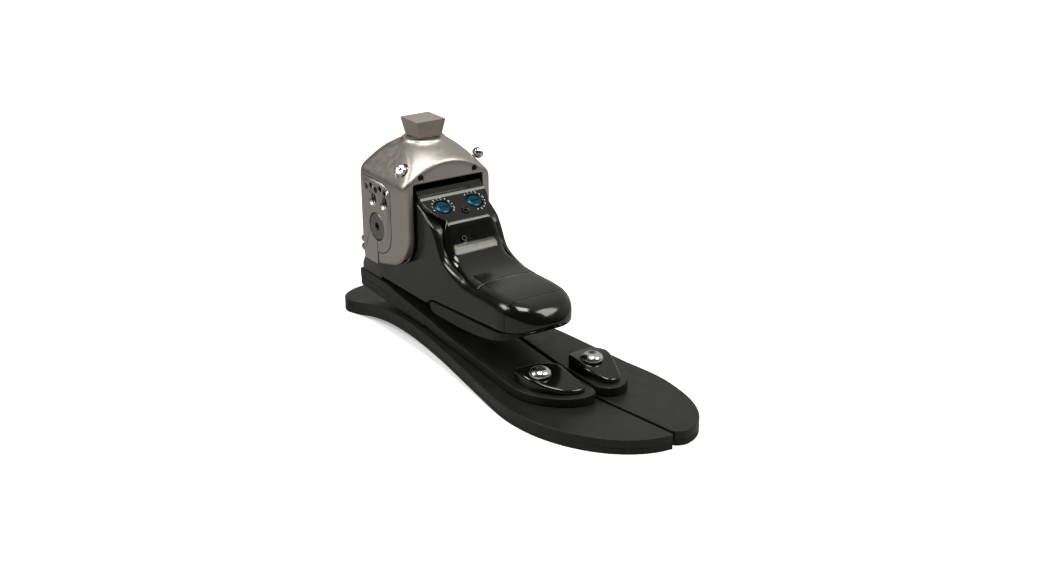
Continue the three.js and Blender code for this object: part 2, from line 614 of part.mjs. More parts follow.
function nosePieces(nose) {
  const frontOfSeam = box(-40, 40, -140, CAP_SEAM_Y - GAP / 2, 0, 130);
  const spigot = rod(RESERVOIR.radius, -CAP_SEAM_Y - 12, -CAP_SEAM_Y + 1, v3(0, 0, RESERVOIR.z), 'y');
  const spigotPlaced = spigot.mirror([0, 1, 0]);
  const screwHole = rod(1.8, 0, 44, v3(0, CAP_SCREW_Y, 0), 'z', 12);
  const grooveAt = v3(0, 0, RESERVOIR.z);
  const groove = tube(RESERVOIR.radius - 0.9, 9, CAP_SEAM_Y + 2, CAP_SEAM_Y + 3.6, grooveAt, 'y');
  const cap = nose.intersect(frontOfSeam).subtract(manifoldCoverSpace()).add(spigotPlaced);
  add('nose_cap', cutAll(cap, [screwHole, groove]), glossBlack());
  const sealAt = v3(0, CAP_SEAM_Y + 2.8, RESERVOIR.z);
  add('nose_cap_seal', ring(RESERVOIR.radius - 0.3, 0.7, sealAt, 'y'), rubber());
  const head = rod(3, 33.6, 36, v3(0, CAP_SCREW_Y, 0), 'z');
  const shank = rod(1.5, 35.9, 43.5, v3(0, CAP_SCREW_Y, 0), 'z', 12);
  const socket = hexSocket(2.8, 32, 34.8, v3(0, CAP_SCREW_Y, 0), 'z');
  add('nose_cap_screw', head.add(shank).subtract(socket), brightSteel());

  const bladder = [];
  const folds = 4;
  const rear = RESERVOIR.rear - 1;
  const length = CAP_SEAM_Y + 13 - rear;
  bladder.push([0, rear]);
  for (let i = 0; i <= folds * 2; i += 1) {
    bladder.push([i % 2 === 0 ? 4.6 : 5.9, rear + (length * i) / (folds * 2)]);
  }
  bladder.push([0, rear + length]);
  add('reservoir_bladder', turned(bladder, v3(0, 0, RESERVOIR.z), 'y', 12), rubber());
}

// ---------------------------------------------------------------- valves on the console
function valvePieces() {
  for (const { name, sign } of SIDES) {
    const at = onConsole(sign * KNOB_X, KNOB_DOWN);
    const base = GAP - KNOB_WELL;
    const edge = KNOB_TOP - 1;
    const profile = [[0, base], [KNOB_RADIUS, base], [KNOB_RADIUS, edge]];
    const domeSteps = 4;
    for (let i = 1; i <= domeSteps; i += 1) {
      const a = (i / domeSteps) * (Math.PI / 2);
      profile.push([KNOB_RADIUS * (0.55 + 0.45 * Math.cos(a)), edge + (KNOB_TOP - edge) * Math.sin(a)]);
    }
    profile.push([0, KNOB_TOP]);
    const slotOutline = outline([[-2.6, -0.35], [2.6, -0.35], [2.6, 0.35], [-2.6, 0.35]]);
    const screwSlot = prism(slotOutline, KNOB_TOP - 0.5, 4);
    const slotPlaced = placeOnConsole(screwSlot, at);
    const shaftSpace = rod(1.8, -3, KNOB_TOP - 0.9, at, consoleUp, 14);
    const knob = cutAll(turned(profile, at, consoleUp, 24), [slotPlaced, shaftSpace]);
    add(`valve_knob_${name}`, knob, blueAnodised());

    const stemTop = KNOB_TOP - 1.2;
    const stemProfile = [[0, -15.5], [0.5, -15], [1.5, -12.5], [1.5, stemTop], [0, stemTop]];
    const stem = turned(stemProfile, at, consoleUp, 14);
    const guide = rod(2.6, -11.5, -7.2, at, consoleUp, 14);
    const lower = rod(2.6, -6, -4.4, at, consoleUp, 14);
    add(`valve_spindle_${name}`, stem.add(guide).add(lower), darkSteel());
    const sealAt = onConsole(sign * KNOB_X, KNOB_DOWN, -6.6);
    add(`valve_seal_${name}`, ring(2.2, 0.7, sealAt, consoleUp), rubber());
  }
  const plugAt = onConsole(PLUG.x, PLUG.down);
  const plug = rod(1.6, -8, 0.2, plugAt, consoleUp, 14).subtract(hexSocket(2, -1.4, 1, plugAt, consoleUp));
  add('fill_plug', plug, darkSteel());
  const bleed = rod(1.6, -7, 0.6, BLEED.at, BLEED.out, 16)
    .subtract(hexSocket(2, -1, 2, BLEED.at, BLEED.out));
  add('bleed_screw', bleed, darkSteel());
}

// moves a solid drawn on the flat, round the origin, onto the console at `at`
function placeOnConsole(solid, at) {
  const geometry = geometryOf(solid);
  geometry.applyMatrix4(CONSOLE_FRAME.clone().setPosition(at));
  return solidOf(geometry);
}

// ---------------------------------------------------------------- piston, crank and pin
const BALL_RADIUS = 4;
const CRANK_HUB_RADIUS = 10;
const SLOT_CLEARANCE = 0.4;
const SLOT_MOUTH = 14; // wider above the ball, where the arm tilts

function pistonPieces() {
  const at = v3(0, PIN.y, CYLINDER_Z);
  const sealAt = PISTON_HALF_LENGTH - 4;
  const grooves = [-sealAt, sealAt].map((h) => tube(6.6, 10, h - 1.1, h + 1.1, at, 'y', 24));
  const halfSlot = BALL_RADIUS + SLOT_CLEARANCE;
  const slot = box(-4.7, 4.7, PIN.y - halfSlot, PIN.y + halfSlot, CYLINDER_Z - 5.2, CYLINDER_Z + 10)
    .add(box(-4.7, 4.7, PIN.y - SLOT_MOUTH / 2, PIN.y + SLOT_MOUTH / 2, CYLINDER_Z + 3.5, CYLINDER_Z + 10));
  const piston = rod(BORE_RADIUS - GAP, -PISTON_HALF_LENGTH, PISTON_HALF_LENGTH, at, 'y', 24);
  add('piston', cutAll(piston, [...grooves, slot]), satinAluminium());
  ['front', 'rear'].forEach((name, i) => {
    const h = i === 0 ? -sealAt : sealAt;
    const seal = tube(6.6 + GAP, BORE_RADIUS - 0.15, h - 0.8, h + 0.8, at, 'y', 24);
    add(`piston_seal_${name}`, seal, rubber());
  });

  const plugAt = v3(0, 0, CYLINDER_Z);
  const plugGroove = tube(6.6, 10, 31.2, 32.8, plugAt, 'y', 24);
  const plug = rod(BORE_RADIUS - GAP, 29.4, BODY_REAR_Y - 0.5, plugAt, 'y', 24)
    .subtract(plugGroove).subtract(hexSocket(6.5, 34.5, 40, plugAt, 'y'));
  add('cylinder_plug', plug, darkSteel());
  add('cylinder_plug_seal', ring(7.25, 0.7, v3(0, 32, CYLINDER_Z), 'y'), rubber());
}

function crankPieces() {
  const pinAt = v3(0, PIN.y, PIN.z);
  const hub = rod(CRANK_HUB_RADIUS, -CAVITY_HALF_WIDTH + 0.5, CAVITY_HALF_WIDTH - 0.5, pinAt, 'x', 24);
  const arm = box(-3.8, 3.8, PIN.y - 2.5, PIN.y + 2.5, CYLINDER_Z, PIN.z - 9);
  const ball = new THREE.SphereGeometry(BALL_RADIUS, 14, 10);
  ball.rotateX(Math.PI / 2);
  ball.translate(0, PIN.y, CYLINDER_Z);
  const screwAt = v3(0, PIN.y, PIN.z);
  const screwHole = rod(1.8, 6, 14, screwAt, 'z', 12);
  const pinSpace = rod(PIN_RADIUS + GAP, -20, 20, pinAt, 'x', 24);
  const crank = cutAll(hub.add(arm).add(solidOf(ball)), [screwHole, pinSpace]);
  add('crank_arm', crank, darkSteel());
  const grub = rod(1.5, 6, CRANK_HUB_RADIUS - 0.4, screwAt, 'z', 12);
  const grubSocket = hexSocket(1.8, CRANK_HUB_RADIUS - 1.6, 13, screwAt, 'z');
  add('crank_screw', grub.subtract(grubSocket), darkSteel());

  const pinEnds = SIDES.map(({ sign }) => hexSocket(5, sign * 24, sign * 30, pinAt, 'x'));
  const dimple = rod(1.9, 5.6, 12, screwAt, 'z', 12);
  const pinEnd = CHEEK_OUTER - 0.2;
  const pin = turned([
    [0, -pinEnd], [PIN_RADIUS - 0.5, -pinEnd], [PIN_RADIUS, -pinEnd + 0.5], [PIN_RADIUS, pinEnd - 0.5],
    [PIN_RADIUS - 0.5, pinEnd], [0, pinEnd],
  ], pinAt, 'x', 24);
  add('pivot_pin', cutAll(pin, [...pinEnds, dimple]), darkSteel());

  for (const { name, sign } of SIDES) {
    const across = (a, b) => (sign > 0 ? [a, b] : [-b, -a]);
    const inner = PIN_RADIUS + 0.25;
    const bush = tube(inner, PIN_RADIUS + 1.8, ...across(8.6, 15.7), pinAt, 'x', 24);
    add(`pivot_bush_${name}`, bush, bronze());
    add(`shaft_seal_${name}`, tube(inner, 11, ...across(16.3, 19.4), pinAt, 'x', 24), rubber());
    add(`thrust_washer_${name}`, tube(inner, 11, ...across(19.8, 21.7), pinAt, 'x', 24), bronze());
  }
}

// ---------------------------------------------------------------- yoke, side plates and pyramid
// side view of the yoke: both cheeks and the roof above them
function yokeSide() {
  const corner = [];
  const cornerSteps = 8;
  const cornerRadius = 19;
  for (let i = 0; i <= cornerSteps; i += 1) {
    const a = Math.PI + (i / cornerSteps) * 1.36;
    corner.push([YOKE_FRONT + cornerRadius * (1 + Math.cos(a)), 64 + cornerRadius * Math.sin(a)]);
  }
  return outline([
    [YOKE_REAR, RIM_TOP], [YOKE_FRONT, RIM_TOP], ...corner,
    [4, YOKE_BOTTOM], [20.5, YOKE_BOTTOM], [22.6, 44], [24.4, 54], [YOKE_REAR, 66],
  ]);
}

// front view: upright cheeks, rounded shoulders and a roof that rises to the pyramid
function yokeFront() {
  const shoulder = [];
  const steps = 5;
  const radius = 4;
  for (let i = 0; i <= steps; i += 1) {
    const a = (i / steps) * THREE.MathUtils.degToRad(40);
    shoulder.push([CHEEK_OUTER - radius * (1 - Math.cos(a)), 91.5 + radius * Math.sin(a)]);
  }
  const right = [[CHEEK_OUTER, 20], ...shoulder, [16, 108.6], [12.4, ROOF_TOP], [12.4, RIM_TOP]];
  return outline([...right, ...right.map(([x, z]) => [-x, z]).reverse()]);
}

function roofDome() {
  const profile = [[0, 30], [44, 30], [44, 88], ...smooth([[37, 94.3], [32, 98.4], [28, 102],
    [24, 105.2], [18, 108.8], [13, 111]], 9), [12.2, ROOF_TOP], [11.9, 112.5], [11.2, RIM_TOP],
    [0, RIM_TOP]];
  return turned(profile, v3(0, 0, 0), 'z', 44);
}

// the inlaid plate on each cheek, in side view
function platePoints(grow) {
  const front = -10.1 - grow;
  const bottom = YOKE_BOTTOM - 0.05;
  return [
    [21, 90.7 + grow], [-2.7, 90.7 + grow], [-9.2 - grow, 88.6 + grow], [front, 84], [front, 62],
    [-8.6 - grow, 56.6 - grow], [-5, 52.6 - grow], [0.4, 50 - grow], [5.4 - grow, 49.4 - grow],
    [5.4 - grow, bottom - 5 * grow], [20, bottom - 5 * grow], [21 + grow, 45], [21 + grow, 90],
  ];
}
const SMALL_HOLES = [[15.6, 84.9], [10.5, 86.7], [5.4, 85.2], [0.5, 86.8], [-4.3, 85.6]];
const LARGE_HOLES = [[9.2, 79.2], [-2.8, 79.7]];
const LARGE_HOLE_RADIUS = 3.1;
const COUNTERSINK = 1.1;

function cheekHoles(sign) {
  const across = (at, radius) => rod(radius, sign * 21, sign * 30, v3(0, at[0], at[1]), 'x', 14);
  return [
    ...SMALL_HOLES.map((at) => across(at, 1.8)),
    ...LARGE_HOLES.map((at) => across(at, LARGE_HOLE_RADIUS)),
  ];
}

const CLAMP_SCREWS = [{ name: 'upper', z: 50.5 }, { name: 'lower', z: 45.6 }];
const CLAMP_X = 24.3;
const SHOULDER = { x: 21.4, y: -14, z: 99 };
const SHOULDER_AXIS = v3(0.72, -0.28, 0.64).normalize();
const LINTEL_SCREW = { x: 17, z: 97.6 };

function yokePieces() {
  const outer = prismX(yokeSide(), -CHEEK_OUTER, CHEEK_OUTER, 1, 2)
    .intersect(prismY(yokeFront(), -60, 60)).intersect(roofDome());
  const cuts = [
    box(-CHEEK_INNER, CHEEK_INNER, -22, 22, 20, CEILING_Z),
    box(-CHEEK_INNER, CHEEK_INNER, -60, 60, 20, LINTEL_Z),
    rod(PIN_RADIUS + GAP, -40, 40, v3(0, PIN.y, PIN.z), 'x', 24),
    rod(SPIGOT_RADIUS + GAP, 105, 130, v3(0, 0, 0), 'z'),
    rod(4.3, 90, 130, v3(0, 0, 0), 'z'),
    rod(7.2, 90, 102, v3(0, 0, 0), 'z'),
  ];
  for (const { sign } of SIDES) {
    const pocket = outline(platePoints(GAP));
    const [near, far] = [CHEEK_OUTER - PLATE_THICKNESS - GAP, CHEEK_OUTER + 4];
    cuts.push(sign > 0 ? prismX(pocket, near, far) : prismX(pocket, -far, -near));
    cuts.push(...cheekHoles(sign));
    cuts.push(box(sign * 25 - 5, sign * 25 + 5, PIN.y - SLIT_WIDTH / 2, PIN.y + SLIT_WIDTH / 2, 30, PIN.z));
    for (const { z } of CLAMP_SCREWS) {
      cuts.push(rod(1.5, -30, 40, v3(sign * CLAMP_X, 0, z), 'y', 12));
    }
    const screwAt = v3(sign * SHOULDER.x, SHOULDER.y, SHOULDER.z);
    const axis = v3(sign * SHOULDER_AXIS.x, SHOULDER_AXIS.y, SHOULDER_AXIS.z);
    cuts.push(rod(1.7, -5, 10, screwAt, axis, 16));
    cuts.push(rod(3.6, 0.2, 12, screwAt, axis));
    cuts.push(rod(1.5, -5, 1, v3(sign * LINTEL_SCREW.x, YOKE_FRONT + 4, LINTEL_SCREW.z), 'y', 12)
      .add(rod(1.5, -4.5, 0, v3(sign * LINTEL_SCREW.x, YOKE_FRONT + 4, LINTEL_SCREW.z), 'y', 12)));
  }
  add('yoke', cutAll(outer, cuts), satinAluminium());

  for (const { name, sign } of SIDES) {
    sidePlate(name, sign);
    yokeScrews(name, sign);
  }
}

function sidePlate(name, sign) {
  const shape = outline(platePoints(0));
  const [near, far] = [CHEEK_OUTER - PLATE_THICKNESS, CHEEK_OUTER];
  const plate = sign > 0 ? prismX(shape, near, far) : prismX(shape, -far, -near);
  const pinAt = v3(0, PIN.y, PIN.z);
  const cuts = [
    ...cheekHoles(sign),
    rod(PIN_RADIUS + GAP, -40, 40, pinAt, 'x', 24),
    box(sign * 27 - 4, sign * 27 + 4, PIN.y - 0.25, PIN.y + 0.25, 30, PIN.z),
  ];
  for (const at of LARGE_HOLES) {
    const centre = v3(sign * (CHEEK_OUTER - 1.1), at[0], at[1]);
    const mouth = LARGE_HOLE_RADIUS + COUNTERSINK;
    const profile = [[0, -0.5], [LARGE_HOLE_RADIUS, 0], [mouth, COUNTERSINK], [mouth, 2], [0, 2]];
    const cone = turned(profile, centre, v3(sign, 0, 0), 16);
    cuts.push(cone);
  }
  add(`side_plate_${name}`, cutAll(plate, cuts), satinAluminium());
}

function yokeScrews(name, sign) {
  for (const { name: level, z } of CLAMP_SCREWS) {
    const at = v3(sign * CLAMP_X, 0, z);
    const seatY = 24.4;
    const head = rod(2.3, seatY + 0.4, seatY + 3.2, at, 'y', 20);
    const shank = rod(1.2, -8, seatY + 0.5, at, 'y', 12);
    const socket = hexSocket(2.4, seatY + 1.8, seatY + 5, at, 'y');
    add(`clamp_screw_${name}_${level}`, head.add(shank).subtract(socket), brightSteel());
  }
  const proud = sign > 0 ? 3.2 : 0.4;
  const at = v3(sign * SHOULDER.x, SHOULDER.y, SHOULDER.z);
  const axis = v3(sign * SHOULDER_AXIS.x, SHOULDER_AXIS.y, SHOULDER_AXIS.z);
  const head = turned([
    [0, proud], [2.2, proud], [3.1, proud + 1], [3.1, proud + 3.2], [2.2, proud + 4.6], [0, proud + 4.6],
  ], at, axis, 20);
  const shank = rod(1.3, -4, proud + 0.1, at, axis, 16);
  const socket = hexSocket(2.8, proud + 2.6, proud + 6, at, axis);
  add(`shoulder_screw_${name}`, head.add(shank).subtract(socket), brightSteel());

  const lintelAt = v3(sign * LINTEL_SCREW.x, YOKE_FRONT, LINTEL_SCREW.z);
  const grub = rod(1.2, -0.2, 3.6, lintelAt, 'y', 12).subtract(hexSocket(1.5, -1, 0.9, lintelAt, 'y'));
  add(`lintel_screw_${name}`, grub, darkSteel());
}

function pyramidPieces() {
  const root = v3(0, 0, 0);
  const spigot = rod(SPIGOT_RADIUS, 105.3, PYRAMID_BASE + 0.2, root, 'z', 24);
  const neckHalf = SPIGOT_RADIUS - 0.1;
  const neck = box(-neckHalf, neckHalf, -neckHalf, neckHalf, RIM_TOP + GAP, PYRAMID_BASE + 0.2);
  const height = PYRAMID_TOP - PYRAMID_BASE;
  const topCorner = PYRAMID_SIDE / Math.SQRT2;
  const baseCorner = PYRAMID_BASE_SIDE / Math.SQRT2;
  const block = new THREE.CylinderGeometry(topCorner, baseCorner, height, 4);
  block.rotateY(Math.PI / 4);
  block.rotateX(Math.PI / 2);
  block.translate(0, 0, PYRAMID_BASE + height / 2);
  const thread = rod(4.1, 100, 117, root, 'z');
  add('pyramid', spigot.add(neck).add(solidOf(block)).subtract(thread), pyramidMetal());
  const head = rod(6.6, 97.6, 101.7, root, 'z');
  const shank = rod(3.8, 101.6, 116.6, root, 'z');
  const socket = hexSocket(7, 96, 100.4, root, 'z');
  add('pyramid_screw', head.add(shank).subtract(socket), brightSteel());
}

solePieces();
springPieces();
toePieces();
bodyPieces();
valvePieces();
pistonPieces();
crankPieces();
yokePieces();
pyramidPieces();

// the frame's origin is the middle of the foot's outline, on the ground
foot.position.set(-(SOLE_LATERAL + SOLE_MEDIAL) / 2, -(TOE_Y + HEEL_Y) / 2, 0);
const object = new THREE.Group();
object.add(foot);

export default object;
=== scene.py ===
"""The looks of a prosthetic foot with a hydraulic ankle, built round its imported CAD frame.

Shapes are made in millimetres about the pyramid's axis, with the ground at z = 0, toes toward -Y and
the big-toe side at +X. place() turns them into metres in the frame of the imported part.
"""

import json
from math import ceil, copysign, cos, pi, radians, sin, sqrt, tan

import bmesh
import bpy
import numpy as np
from mathutils import Matrix, Vector, geometry


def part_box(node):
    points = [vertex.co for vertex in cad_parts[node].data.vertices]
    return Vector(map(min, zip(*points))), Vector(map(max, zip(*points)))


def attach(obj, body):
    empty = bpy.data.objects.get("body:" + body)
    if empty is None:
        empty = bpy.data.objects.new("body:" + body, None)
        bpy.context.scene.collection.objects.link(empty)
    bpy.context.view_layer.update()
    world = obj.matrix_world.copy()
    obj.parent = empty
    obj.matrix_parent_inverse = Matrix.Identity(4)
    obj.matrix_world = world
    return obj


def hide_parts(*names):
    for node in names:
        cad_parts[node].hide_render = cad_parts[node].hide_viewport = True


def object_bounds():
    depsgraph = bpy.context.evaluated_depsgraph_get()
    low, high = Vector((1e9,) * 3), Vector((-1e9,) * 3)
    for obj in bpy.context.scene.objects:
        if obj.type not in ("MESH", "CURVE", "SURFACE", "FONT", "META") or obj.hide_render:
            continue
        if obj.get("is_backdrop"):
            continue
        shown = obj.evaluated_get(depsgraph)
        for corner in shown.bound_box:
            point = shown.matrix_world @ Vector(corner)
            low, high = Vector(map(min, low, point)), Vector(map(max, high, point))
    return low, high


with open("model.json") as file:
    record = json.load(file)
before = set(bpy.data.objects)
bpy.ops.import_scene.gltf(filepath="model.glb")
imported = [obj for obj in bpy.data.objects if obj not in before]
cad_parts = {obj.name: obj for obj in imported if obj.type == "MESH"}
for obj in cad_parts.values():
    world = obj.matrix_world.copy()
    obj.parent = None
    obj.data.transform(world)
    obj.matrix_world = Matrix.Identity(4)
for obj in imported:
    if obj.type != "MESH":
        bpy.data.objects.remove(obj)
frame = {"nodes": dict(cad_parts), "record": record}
CAD_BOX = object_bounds()

# ---- driving dimensions (mm)
MM = 0.001
ORIGIN = Vector((0, 0, 0))
PYRAMID_LOW, PYRAMID_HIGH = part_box("pyramid")
AXIS = Vector(((PYRAMID_LOW.x + PYRAMID_HIGH.x) / 2, (PYRAMID_LOW.y + PYRAMID_HIGH.y) / 2, 0))
GAP = 0.3

PAD_THICKNESS = 3.2
SOLE_THICKNESS = 4.4
SPRING_THICKNESS = 5.4
SPRING_HALF_WIDTH = 21.5
SPRING_REAR_Y = 40
SLOT_HALF_WIDTH = 1.1
SLOT_END = (5.3, -97)
SLOT_LEAN = tan(0.128)
TOE_BOLTS = {"lateral": (-10, -123.5), "medial": (22.7, -124)}

BODY_HALF_WIDTH = 21.2
BODY_FLOOR = 28.5
BODY_REAR_Y = 37.5
TOWER_REAR_Y = 23.1
NOSE_BEND_Y = -100
NOSE_Y = -122
CAP_SEAM_Y = -107
CAP_SCREW = (0, -101.5)
MANIFOLD_SCREWS = [(0, -48), (0, -92)]
SCREW_BORE = 1.8
OIL_SCREW_BORE = 1.9
SPINDLE_BORE = 2.9
TOE_BOLT_BORE = 2.8
BODY_BOLT_BORE = 2.3

# the console: y and z of its upper edge, its slope, and places across and down the slope
CONSOLE_TOP = (-27.2, 88.1)
CONSOLE_TILT = radians(33)
CONSOLE_LENGTH = 20.5
CONSOLE_THICKNESS = 3
KNOB_X = 10
KNOB_DOWN = 9.4
KNOB_RADIUS = 4.4
KNOB_WELL = 2.2
KNOB_TOP = 0.3
PLUG = (1.3, 14.6)
BLEED = Vector((-6.3, -49.4, 68.7))
BLEED_OUT = Vector((0, -0.86, 0.51)).normalized()

PIN = Vector((0, 5.5, 64))
PIN_RADIUS = 7.8
BUSH_RADIUS = PIN_RADIUS + 2.1
SHAFT_SEAL_RADIUS = 11.3
CYLINDER = Vector((0, 0, 46))
CYLINDER_RADIUS = 8
CRANK_ROOM_RADIUS = 11
CRANK_ROOM_HALF_WIDTH = 8.2
RESERVOIR = Vector((0, 0, 46.5))
RESERVOIR_RADIUS = 6.5
CHEEK_INNER = 22
CHEEK_OUTER = 28.2
YOKE_HALF_DEPTH = 25
YOKE_BOTTOM = 42
CEILING_Z = 97
LINTEL_Z = 94.2
ROOF_TOP = 111.5
RIM_TOP = 113
PYRAMID_BASE = 114
PYRAMID_TOP = 123
PLATE_THICKNESS = 1.6

SIDES = {"lateral": -1, "medial": 1}

CAMERA_TARGET = Vector((8.2, -81.3, 50))
CAMERA_DISTANCE = 720.9
CAMERA_AZIMUTH = -35.15
CAMERA_ELEVATION = 21.61
CAMERA_LENS = 47.63
SENSOR_WIDTH = 36


# ---- curves and outlines
def spline(points, steps):
    """A smooth open line through the points, with the same number of steps between its ends."""
    last = len(points) - 1
    line = []
    for k in range(steps + 1):
        along = last * k / steps
        i = min(int(along), last - 1)
        t = along - i
        a, b = np.array(points[max(i - 1, 0)], float), np.array(points[i], float)
        c, d = np.array(points[i + 1], float), np.array(points[min(i + 2, last)], float)
        out, into = (c - a) / 2, (d - b) / 2
        at = b + out * t + (3 * (c - b) - 2 * out - into) * t ** 2 + (2 * (b - c) + out + into) * t ** 3
        line.append((float(at[0]), float(at[1])))
    return line


def height_along(points, steps=160):
    """A function z(y) through the points, smooth between them."""
    line = sorted(spline(points, steps))
    ys = [p[0] for p in line]
    zs = [p[1] for p in line]
    return lambda y: float(np.interp(y, ys, zs))


def arc(centre, radius, start, end, steps):
    """Points round a circle from the start angle to the end angle, in degrees."""
    turn = [radians(start + (end - start) * k / steps) for k in range(steps + 1)]
    return [(centre[0] + radius * cos(a), centre[1] + radius * sin(a)) for a in turn]


def is_counterclockwise(outline):
    total = 0
    for (x0, y0), (x1, y1) in zip(outline, outline[1:] + outline[:1]):
        total += x0 * y1 - x1 * y0
    return total > 0


def inset(outline, distance):
    """A counterclockwise closed outline moved inward by a distance that may depend on y."""
    moved = []
    count = len(outline)
    for i, here in enumerate(outline):
        before, after = Vector(outline[i - 1]), Vector(outline[(i + 1) % count])
        into, out = (Vector(here) - before).normalized(), (after - Vector(here)).normalized()
        side = Vector((-into.y, into.x))
        bisector = (side + Vector((-out.y, out.x))).normalized()
        stretch = 1 / max(bisector.dot(side), 0.6)
        moved.append(tuple(Vector(here) + bisector * distance(here[1]) * stretch))
    return moved


def fine(outline, spacing):
    """The same closed outline with points no further apart than the spacing."""
    made = []
    for a, b in zip(outline, outline[1:] + outline[:1]):
        a, b = Vector(a), Vector(b)
        pieces = max(1, ceil((b - a).length / spacing))
        made += [tuple(a.lerp(b, k / pieces)) for k in range(pieces)]
    return made


def grid_inside(outline, spacing):
    """Points of a square grid that lie inside the outline and not too near it."""
    edge = np.array(outline)
    after = np.roll(edge, -1, axis=0)
    low, high = edge.min(0), edge.max(0)
    xs = np.arange(low[0] + spacing / 2, high[0], spacing)
    ys = np.arange(low[1] + spacing / 2, high[1], spacing)
    points = np.array([(x, y) for x in xs for y in ys])
    kept = []
    along = after - edge
    length2 = (along ** 2).sum(1)
    for p in points:
        crosses = (edge[:, 1] > p[1]) != (after[:, 1] > p[1])
        slope = (p[1] - edge[:, 1]) * along[:, 0] - (p[0] - edge[:, 0]) * along[:, 1]
        inside = np.count_nonzero(crosses & ((slope > 0) == (along[:, 1] > 0))) % 2
        if not inside:
            continue
        t = np.clip(((p - edge) * along).sum(1) / length2, 0, 1)
        nearest = ((edge + along * t[:, None] - p) ** 2).sum(1).min()
        if nearest > (0.6 * spacing) ** 2:
            kept.append((float(p[0]), float(p[1])))
    return kept


# ---- making and changing meshes
def add_object(name, data):
    """A new object in the scene that shows a mesh, a curve, a lamp or a camera."""
    made = bpy.data.objects.new(name, data)
    bpy.context.scene.collection.objects.link(made)
    return made


def new_object(name, bm):
    bmesh.ops.recalc_face_normals(bm, faces=bm.faces)
    mesh = bpy.data.meshes.new(name)
    bm.to_mesh(mesh)
    bm.free()
    return add_object(name, mesh)


def add_walls(bm, lower, upper):
    """Joins two rings of as many vertices with a band of faces."""
    for i in range(len(lower)):
        j = (i + 1) % len(lower)
        bm.faces.new((lower[i], lower[j], upper[j], upper[i]))


def add_cap(bm, ring, outline, spacing, height):
    """Fills a ring of vertices with small triangles at the height that the function gives."""
    inner = grid_inside(outline, spacing)
    flat = [Vector(p) for p in outline + inner]
    loop = list(range(len(outline)))
    points, _, faces, came_from, _, _ = geometry.delaunay_2d_cdt(flat, [], [loop], 1, 1e-6)
    verts = []
    for point, origin in zip(points, came_from):
        on_ring = [k for k in origin if k < len(outline)]
        if on_ring:
            verts.append(ring[on_ring[0]])
        else:
            verts.append(bm.verts.new((point.x, point.y, height(point.x, point.y))))
    for face in faces:
        corners = [verts[k] for k in face]
        if len(set(corners)) == 3:
            bm.faces.new(corners)


def slab(name, outline, bottom, top, edge_bottom, edge_top, spacing, edge_steps=3):
    """A closed sheet with this plan, between two height functions, with rounded edges.

    The rounding of the upper edge is a number or a function of y. Where the sheet is thinner than
    both roundings together, they are pressed flatter.
    """
    if not is_counterclockwise(outline):
        outline = outline[::-1]
    top_edge = edge_top if callable(edge_top) else lambda y: edge_top
    bottom_edge = lambda y: edge_bottom
    turns = [pi / 2 * k / edge_steps for k in range(edge_steps + 1)]
    rings = [(bottom, bottom_edge, 1 - sin(a), 1 - cos(a)) for a in turns]
    rings += [(top, top_edge, 1 - cos(a), sin(a) - 1) for a in turns]
    bm = bmesh.new()
    made = []
    for level, edge, inward, upward in rings:
        ring = []
        for x, y in inset(outline, lambda y: edge(y) * inward):
            room = (top(x, y) - bottom(x, y)) / (top_edge(y) + edge_bottom)
            ring.append(bm.verts.new((x, y, level(x, y) + edge(y) * upward * min(1, 0.9 * room))))
        made.append(ring)
    for lower, upper in zip(made, made[1:]):
        add_walls(bm, lower, upper)
    add_cap(bm, made[0], inset(outline, bottom_edge), spacing, bottom)
    add_cap(bm, made[-1], inset(outline, top_edge), spacing, top)
    return new_object(name, bm)


TO_AXIS = {
    "x": Matrix(((0, 0, 1, 0), (1, 0, 0, 0), (0, 1, 0, 0), (0, 0, 0, 1))),
    "y": Matrix(((1, 0, 0, 0), (0, 0, 1, 0), (0, 1, 0, 0), (0, 0, 0, 1))),
    "z": Matrix.Identity(4),
}


def prism(name, outline, low, high, axis="z", turn=None):
    """An outline, drawn in the two other axes, raised from low to high along an axis.

    A turn, where one is given, carries it from the x-y plane to its place instead.
    """
    bm = bmesh.new()
    lower = [bm.verts.new((a, b, low)) for a, b in outline]
    upper = [bm.verts.new((a, b, high)) for a, b in outline]
    bm.faces.new(lower)
    bm.faces.new(upper)
    add_walls(bm, lower, upper)
    bmesh.ops.transform(bm, matrix=turn or TO_AXIS[axis], verts=bm.verts)
    return new_object(name, bm)


def block(x0, x1, y0, y1, z0, z1):
    return prism("cutter", [(x0, y0), (x1, y0), (x1, y1), (x0, y1)], z0, z1)


def turned(name, profile, at, axis, steps=48):
    """A profile of (radius, height) turned round an axis through a point: "x", "y", "z" or a direction."""
    direction = Vector([float(axis == name) for name in "xyz"]) if isinstance(axis, str) else axis
    spin = direction.to_track_quat("Z", "Y").to_matrix().to_4x4()
    bm = bmesh.new()
    rings = []
    for radius, height in profile:
        if radius < 1e-6:
            rings.append([bm.verts.new((0, 0, height))])
            continue
        turn = [2 * pi * k / steps for k in range(steps)]
        rings.append([bm.verts.new((radius * cos(a), radius * sin(a), height)) for a in turn])
    for lower, upper in zip(rings, rings[1:]):
        low, high = len(lower), len(upper)
        for i in range(steps):
            j = (i + 1) % steps
            corners = [lower[i % low], lower[j % low], upper[j % high], upper[i % high]]
            corners = list(dict.fromkeys(corners))
            if len(corners) > 2:
                bm.faces.new(corners)
    if len(rings[0]) > 1 and profile[0] == profile[-1]:
        bmesh.ops.remove_doubles(bm, verts=bm.verts, dist=1e-6)
    bmesh.ops.transform(bm, matrix=Matrix.Translation(at) @ spin, verts=bm.verts)
    return new_object(name, bm)


def rod(radius, low, high, at, axis, steps=40):
    return turned("cutter", [(0, low), (radius, low), (radius, high), (0, high)], at, axis, steps)


